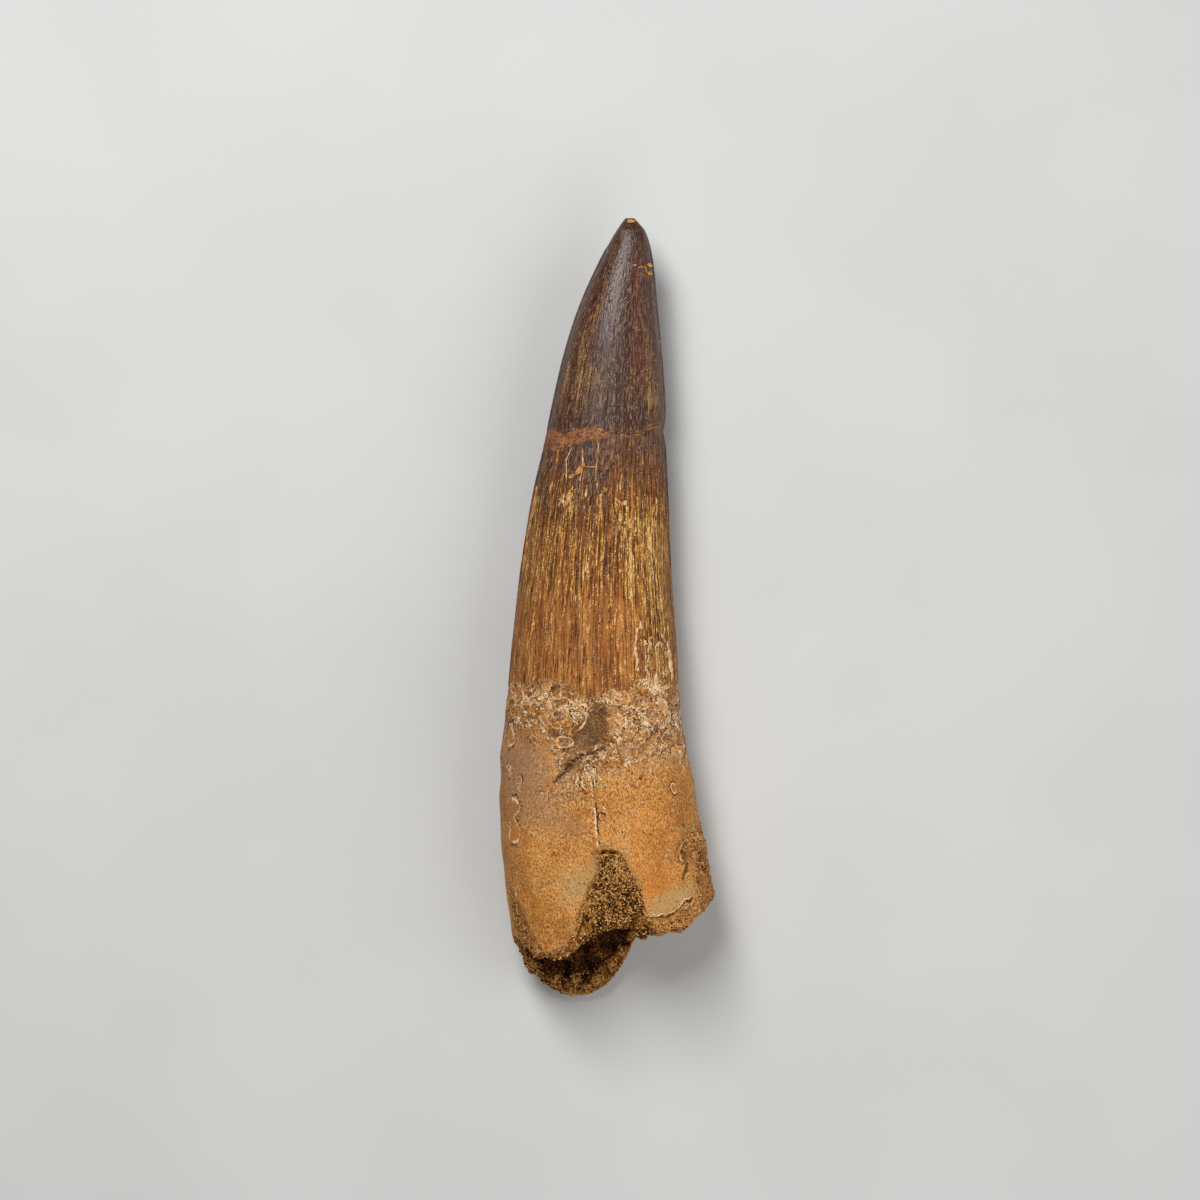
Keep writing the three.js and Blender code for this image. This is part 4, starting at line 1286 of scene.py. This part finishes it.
def band_colours(f, place, cloud, blotch, grain, dust):
    """Tan and brown scabs: pale outlines along the level lines of two noises with painted shadow beside them,
    dark pits and specks.
    """
    tone = f.sum((blotch, 0.9), (grain, 0.5), (cloud, 0.3), (dust, 0.4))
    scab = f.ramp(
        tone, (-2.0, BAND_BROWN), (-1.0, OCHRE_BROWN), (-0.2, TAN), (0.4, BUFF), (1.0, OCHRE), (2.6, PALE_TAN)
    )
    raised = 0.0
    busy = f.noise(place, 0.2, 2)
    for size, level, height in ((0.36, 0.4, 0.12), (0.65, -0.3, 0.07)):
        field = f.sum(f.noise(place, size, 2, 0.5, 0.7), (dust, 0.05))
        lit = f.step(f.math("ABSOLUTE", f.sum(field, -level)), 0.24, 0.14)
        crowded = f.sum((busy, 0.8), (blotch, 0.8), (grain, 0.9), (f.mask("pale"), 1.8))
        scab = f.blend(f.both(lit, f.step(crowded, 0.0, 0.4)), scab, CREAM)
        # painted shadow beside each pale outline
        shaded = f.step(f.math("ABSOLUTE", f.sum(field, 0.5 - level)), 0.26, 0.14)
        shaded = f.both(shaded, f.step(f.sum((blotch, -0.8), (busy, 0.6), (grain, 1.2)), -0.5, 0.1))
        scab = f.blend(f.both(shaded, 0.9), scab, DARK_BROWN)
        raised = f.sum(raised, (f.step(field, level - 0.6, level), height))
    pits = f.step(f.sum((f.noise(place, 1.5, 3, 0.7), 0.8), (dust, 0.5)), 1.0, 1.25)
    scab = f.blend(f.both(pits, 0.9), scab, DARK_BROWN)
    bright = f.step(f.sum((dust, 0.9), (grain, 0.4), (f.mask("pale"), 0.8)), 1.35, 1.55)
    return f.blend(f.both(bright, 0.85), scab, CREAM), raised


def tooth_finish():
    """The tooth's finish from the root up: ochre root, scabby band, streaked dentine, dark glossy enamel, the
    clay in the crack, and the stains, painted shade and granular break over them all."""
    f = Finish("fossil_tooth_finish")
    place = f.place()
    dust = f.noise(place, 3.8, 1, 0.6)
    grain = f.noise(place, 1.8, 2, 0.6)
    blotch = f.noise(place, 0.5, 4, 0.6)
    cloud = f.noise(place, 0.13, 2)
    hair = f.noise(f.way(4.4, 0.09), detail=1.5, roughness=0.5)
    thread = f.noise(f.way(-4.0, 0.14), detail=1.5, roughness=0.5)
    fleck = f.noise(f.way(3.4, 0.7), detail=1.5, roughness=0.5)
    fibre = f.noise(f.way(1.3, 0.10), detail=2, roughness=0.5)
    strip = f.noise(f.way(0.5, 0.05), detail=2)
    comb = f.comb(COMB_LINES, f.noise(f.way(0.6, 0.08), detail=2))

    root = root_colours(f, cloud, blotch, grain, dust)
    scabbed = f.step(f.sum((f.mask("scabbed"), 3.0), (blotch, 0.7), (grain, 0.5)), 1.0, 2.2)
    scab, raised = band_colours(f, place, cloud, blotch, grain, dust)
    colour = f.blend(scabbed, root, scab)
    colour = f.blend(f.both(f.mask("lilac"), f.sum((grain, 0.2), 0.6)), colour, LILAC_GREY)

    # dentine of the crown: brown with crisp dark hairs and gold threads and flecks, calmer low down
    calm = f.mask("reddened")
    gilded = f.mask("gilded")
    dusk = f.step(f.mask("enamel"), -4.5, 0.5)
    # the comb paints the fine grooves' floors darker and their ridges gold: partly the dentine's own streaks,
    # partly painted shade in the grooves
    tone = f.sum((fibre, 0.4), (strip, 0.4), (blotch, 0.3), (dust, 0.4), (comb, 0.4), (dusk, -0.6))
    dentine = f.ramp(tone, (-2.4, BAND_BROWN), (-1.0, RED_BROWN), (0.2, RUST), (1.8, GOLD))
    even = f.ramp(tone, (-2.0, RED_BROWN), (-0.9, RUST), (0.3, CLAY_RED), (1.4, EARTH_GOLD), (2.6, GOLD))
    dentine = f.blend(f.both(calm, 0.85), dentine, even)
    # painted shade down the dentine's left edge, with brown of its own
    dentine = f.blend(f.both(f.mask("brown_and_edge_shade"), 0.5), dentine, OCHRE_BROWN)
    streaked = f.sum((hair, 0.75), (comb, -0.5), (dust, 0.4), (dusk, 0.7), (calm, -0.2), (gilded, 0.6))
    dark_hair = f.step(streaked, 0.5, 0.68)
    dentine = f.blend(f.both(dark_hair, f.sum(0.95, (calm, -0.3))), dentine, DARK_BROWN)
    lit = f.sum((f.mask("pale"), 1.6), (gilded, 0.6), (calm, -0.45), (dusk, -0.4))
    gold = f.step(f.sum((thread, 0.8), (fleck, 0.4), (dust, 0.35), (comb, 0.3), lit), 0.6, 0.78)
    gold_tone = f.sum((fleck, 0.8), (dust, 0.9), lit)
    gold_colour = f.ramp(gold_tone, (-1.5, OCHRE), (0.2, GOLD), (1.4, STRAW))
    dentine = f.blend(f.both(gold, 0.95), dentine, gold_colour)
    nick = f.sum((thread, -0.9), (fleck, -0.5), (dust, 0.3), (dusk, 0.3), (gilded, 0.6))
    dentine = f.blend(f.both(f.step(nick, 1.0, 1.2), 0.9), dentine, DARK_BROWN)
    # darker in the flutes' grooves: partly their own colour, partly painted shade
    groove = f.step(f.math("ABSOLUTE", f.mask("flute")), 0.3, 0.05)
    grooved = f.both(groove, f.step(f.sum((strip, 0.6), (fibre, 0.6)), -0.8, 0.8))
    dentine = f.blend(f.both(grooved, 0.6), dentine, DARK_BROWN)
    colour = f.blend(f.mask("rooted"), dentine, colour)

    # enamel: plum and maroon, greyed in patches, with gold and olive clay in its grooves
    glossy = f.mask("glossy")
    dark_tone = f.sum((strip, 0.6), (fibre, 0.4), (blotch, 0.4), (dust, 0.3), -0.2)
    enamel = f.ramp(dark_tone, (-1.6, MAROON), (-0.2, PLUM), (1.6, PLUM_GREY))
    plates = f.ramp(dark_tone, (-1.8, PLUM), (-0.4, PLATE_BROWN), (1.4, PLATE_TAN))
    above_crack = f.step(glossy, 0.1, 0.4)
    enamel = f.blend(above_crack, plates, enamel)
    red = f.ramp(dark_tone, (-1.6, DARK_BROWN), (0.2, RED_BROWN), (1.6, RUST))
    red = f.blend(above_crack, red, WINE)
    enamel = f.blend(f.both(f.mask("reddened"), 0.85), enamel, red)
    enamel = f.blend(f.both(gilded, 0.25), enamel, TAN)
    wrinkle = f.noise(f.way(2.8, 1.1), detail=1, roughness=0.6, warp=0.9)
    vein = f.noise(f.way(3.4, 0.55), detail=1.5, roughness=0.6, warp=0.4)
    strand = f.noise(f.way(1.5, 0.22), detail=1.0, roughness=0.5)
    # dark and light lines that follow the wrinkles' relief: partly the enamel's own mottling, partly painted
    # shade and glints of the wrinkles
    for weight, low, high, cover, tint in (
        (0.8, 0.2, 0.45, 0.9, MAROON_DARK), (-0.8, 0.8, 1.05, 0.75, GLINT_AND_FLECK_GREY),
    ):
        veined = f.step(f.sum((vein, weight), (wrinkle, 0.5)), low, high)
        enamel = f.blend(f.both(veined, cover), enamel, tint)
    specks = f.step(f.sum((hair, 0.9), (fleck, 0.6), (dust, 0.3), (gilded, 1.7)), 1.9, 2.1)
    clay_tone = f.sum((fibre, 0.6), (dust, 0.8))
    clay_gold = f.ramp(clay_tone, (-1.5, OLIVE), (0, CLAY_GOLD), (2.6, STRAW))
    enamel = f.blend(f.both(specks, 0.75), enamel, clay_gold)
    # the flutes' grooves darkened in the enamel too: partly maroon of its own, partly painted shade
    enamel = f.blend(f.both(grooved, 0.6), enamel, MAROON)
    worn = f.sum((fibre, 0.7), (hair, 0.5), (fleck, 0.5), (blotch, 1.0))
    enamelled = f.step(f.sum(f.mask("enamel"), worn), -0.1, 0.3)
    colour = f.blend(enamelled, colour, enamel)

    # crack and its clay, then pale and dark marks, some dark ones being painted shade under the ledge and rim
    # and in crevices, and the granular break
    clay = f.sum((grain, 0.8), (dust, 0.6))
    clay = f.ramp(clay, (-1.8, DARK_BROWN), (-0.5, TERRACOTTA), (1.4, TAN), (2.4, CREAM))
    colour = f.blend(f.mask("filled"), colour, clay)
    from_crack = f.math("ABSOLUTE", f.sum(f.mask("crack"), (dust, 0.03)))
    lip = f.step(f.sum(from_crack, (grain, 0.14), (blotch, 0.2)), 0.32, 0.2)
    colour = f.blend(f.both(lip, 0.8), colour, f.ramp(grain, (-1.5, RUST), (0.5, TAN), (2.0, PALE_TAN)))
    colour = f.blend(f.step(from_crack, 0.13, 0.07), colour, NEAR_BLACK)
    ragged = f.sum((grain, 0.25), (dust, 0.25))
    pale_edge = f.sum((f.mask("pale"), 1.5), ragged)
    colour = f.blend(f.both(f.step(pale_edge, 1.0, 1.25), f.mask("rooted")), colour, CREAM)
    stained = f.step(f.sum((f.mask("stained"), 3.4), (blotch, 0.5), (grain, 0.4), ragged), 1.35, 1.5)
    stain = f.sum((dust, 0.8), (grain, 0.4), (blotch, 0.3))
    stain = f.ramp(stain, (-1.8, DARK_BROWN), (0, STAIN), (2.8, TAN))
    colour = f.blend(f.both(stained, 0.92), colour, stain)
    scar = f.sum(f.mask("scarred"), (blotch, 0.10), (grain, 0.04), (dust, 0.03))
    for level, tint in ((0.36, DARK_BROWN), (0.54, CREAM)):
        rim = f.step(f.math("ABSOLUTE", f.sum(scar, -level)), 0.09, 0.04)
        colour = f.blend(f.both(rim, f.step(f.sum(fibre, grain), -0.6, 0.8)), colour, tint)
    for name, low, high, tint in (
        ("fissure", -0.5, -0.12, CREAM), ("fissure", -0.12, 0.18, DARK_BROWN),
        # the dark band under the ledge is painted shadow; the cream above it is the rim's pale edge
        ("ledge", -0.4, -0.1, CREAM), ("ledge", -0.1, 0.45, DARK_BROWN),
    ):
        edge = f.sum(f.mask(name), (grain, 0.05), (dust, 0.04))
        within = f.both(f.step(edge, low - 0.05, low + 0.05), f.step(edge, high + 0.05, high - 0.05))
        colour = f.blend(f.both(within, f.step(f.sum(blotch, grain), -1.4, 0.2)), colour, tint)
    darkened = f.step(f.sum((f.mask("dark"), 2.0), (ragged, 1.6)), 1.1, 1.3)
    colour = f.blend(f.both(darkened, 0.9), colour, DARK_BROWN)
    gritty = f.step(f.sum((f.mask("gritty"), 3.0), (grain, 0.5), (blotch, 0.4), (dust, 0.4)), 1.2, 1.6)
    grit = f.sum((dust, 0.9), (grain, 0.8), (blotch, 0.5), 0.35)
    bare = f.ramp(grit, (-1.5, DARK_BROWN), (-0.7, OCHRE_BROWN), (0.0, RUST), (0.8, OCHRE), (2.0, PALE_TAN))
    colour = f.blend(gritty, colour, bare)

    gloss = f.sum(0.6, (glossy, -0.41), (wrinkle, 0.03), (specks, 0.3))
    matt = f.sum(0.75, (grain, 0.04), (gritty, 0.15))
    share = f.both(enamelled, f.math("SUBTRACT", 1.0, f.mask("filled")))
    roughness = f.node("Mix", 0, {"data_type": "FLOAT"}, Factor=share, A=matt, B=gloss)

    dull = f.math("SUBTRACT", 1.0, enamelled)
    fibred = f.both(dull, f.math("SUBTRACT", 1.0, f.mask("rooted")))
    creased = f.both(enamelled, f.sum((glossy, -0.9), 1.4))
    height = f.sum(
        (f.math("MULTIPLY", f.sum(comb, (dark_hair, -1.6), gold), fibred), 0.02),
        (f.math("MULTIPLY", f.sum((wrinkle, 0.6), (strand, 1.0)), creased), 0.009),
        (f.math("MULTIPLY", grain, dull), 0.018),
        (f.math("MULTIPLY", f.sum((blotch, 0.03), raised), scabbed), 1.0),
        (f.math("MULTIPLY", f.cells(place, 2.6), gritty), -0.3),
        (darkened, -0.12),
        (specks, 0.015),
    )
    return f.shade(colour, roughness, height, specular=0.25)


# ---------------------------------------------------------------- studio


def softbox(name, place, aim, width, length, power):
    """A soft rectangular lamp facing a point."""
    lamp = bpy.data.lights.new(name, "AREA")
    lamp.shape = "RECTANGLE"
    lamp.size = width
    lamp.size_y = length
    lamp.energy = power
    holder = bpy.data.objects.new(name, lamp)
    holder.location = place
    holder.rotation_euler = (Vector(aim) - Vector(place)).to_track_quat("-Z", "Y").to_euler()
    bpy.context.scene.collection.objects.link(holder)


def make_studio():
    """A wide pale floor, three soft lamps and a faint even light from all round."""
    half = 3.0
    corners = np.array([(-half, -half, 0), (half, -half, 0), (half, half, 0), (-half, half, 0)]) / MM
    floor = mesh_object("floor", corners, [np.array([(0, 1, 2, 3)])])
    f = Finish("floor_paint")
    mottle = f.noise(f.place(), 0.02, 2)
    paint = f.ramp(mottle, (-1.0, (0.53, 0.53, 0.52)), (1.0, (0.55, 0.55, 0.54)))
    floor.data.materials.append(f.shade(paint, 0.7, mottle, bump_strength=0.02))

    crown = (0.0, 0.03, 0.015)
    softbox("key", (-0.13, 0.27, 0.50), crown, 0.15, 0.36, 3.3)
    softbox("side", (0.62, -0.06, 0.42), crown, 0.75, 1.0, 3.1)
    softbox("front", (0.12, -0.46, 0.36), crown, 0.5, 0.25, 1.0)

    world = bpy.data.worlds.new("studio")
    world.use_nodes = True
    world.node_tree.nodes["Background"].inputs[0].default_value = (0.95, 0.96, 1.0, 1)
    world.node_tree.nodes["Background"].inputs[1].default_value = 0.08
    bpy.context.scene.world = world
    bpy.context.scene.view_settings.view_transform = "Standard"


def make_camera():
    """Straight down from far off, with the tip towards the top of the picture."""
    lens = bpy.data.cameras.new("camera")
    lens.lens = 250
    lens.sensor_width = 36
    lens.clip_start = 0.01
    camera = bpy.data.objects.new("camera", lens)
    seen = 214.3  # millimetres across the picture at the tooth's half height
    camera.location = (-1.43 * MM, 1.52 * MM, (12.5 + seen * lens.lens / lens.sensor_width) * MM)
    bpy.context.scene.collection.objects.link(camera)
    bpy.context.scene.camera = camera


def dress(piece, finish):
    piece.data.materials.append(finish)
    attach(piece, "root")


make_camera()
random = np.random.default_rng(7)

tooth, tooth_rings, tooth_marks = make_tooth()
dress(tooth, tooth_finish())
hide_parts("tooth")

crusts = make_crusts(random)
dress(crusts, crust_finish())

sand, sand_front, sand_out = make_sand()
dress(sand, sand_finish())
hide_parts("sandstone_plug")

grain_paint = grain_finish()
places, out = sand_grain_places(random, sand_front, sand_out, SAND_GRAINS)
grains = make_grains("sand_grains", random, places, out, random.uniform(*SAND_GRAIN_SIZES, SAND_GRAINS))
dress(grains, grain_paint)
places, out = break_grain_places(random, tooth_rings, tooth_marks["gritty"], BREAK_GRAINS)
crumbs = make_grains("break_grains", random, places, out, random.uniform(*BREAK_GRAIN_SIZES, BREAK_GRAINS))
dress(crumbs, grain_paint)
make_studio()
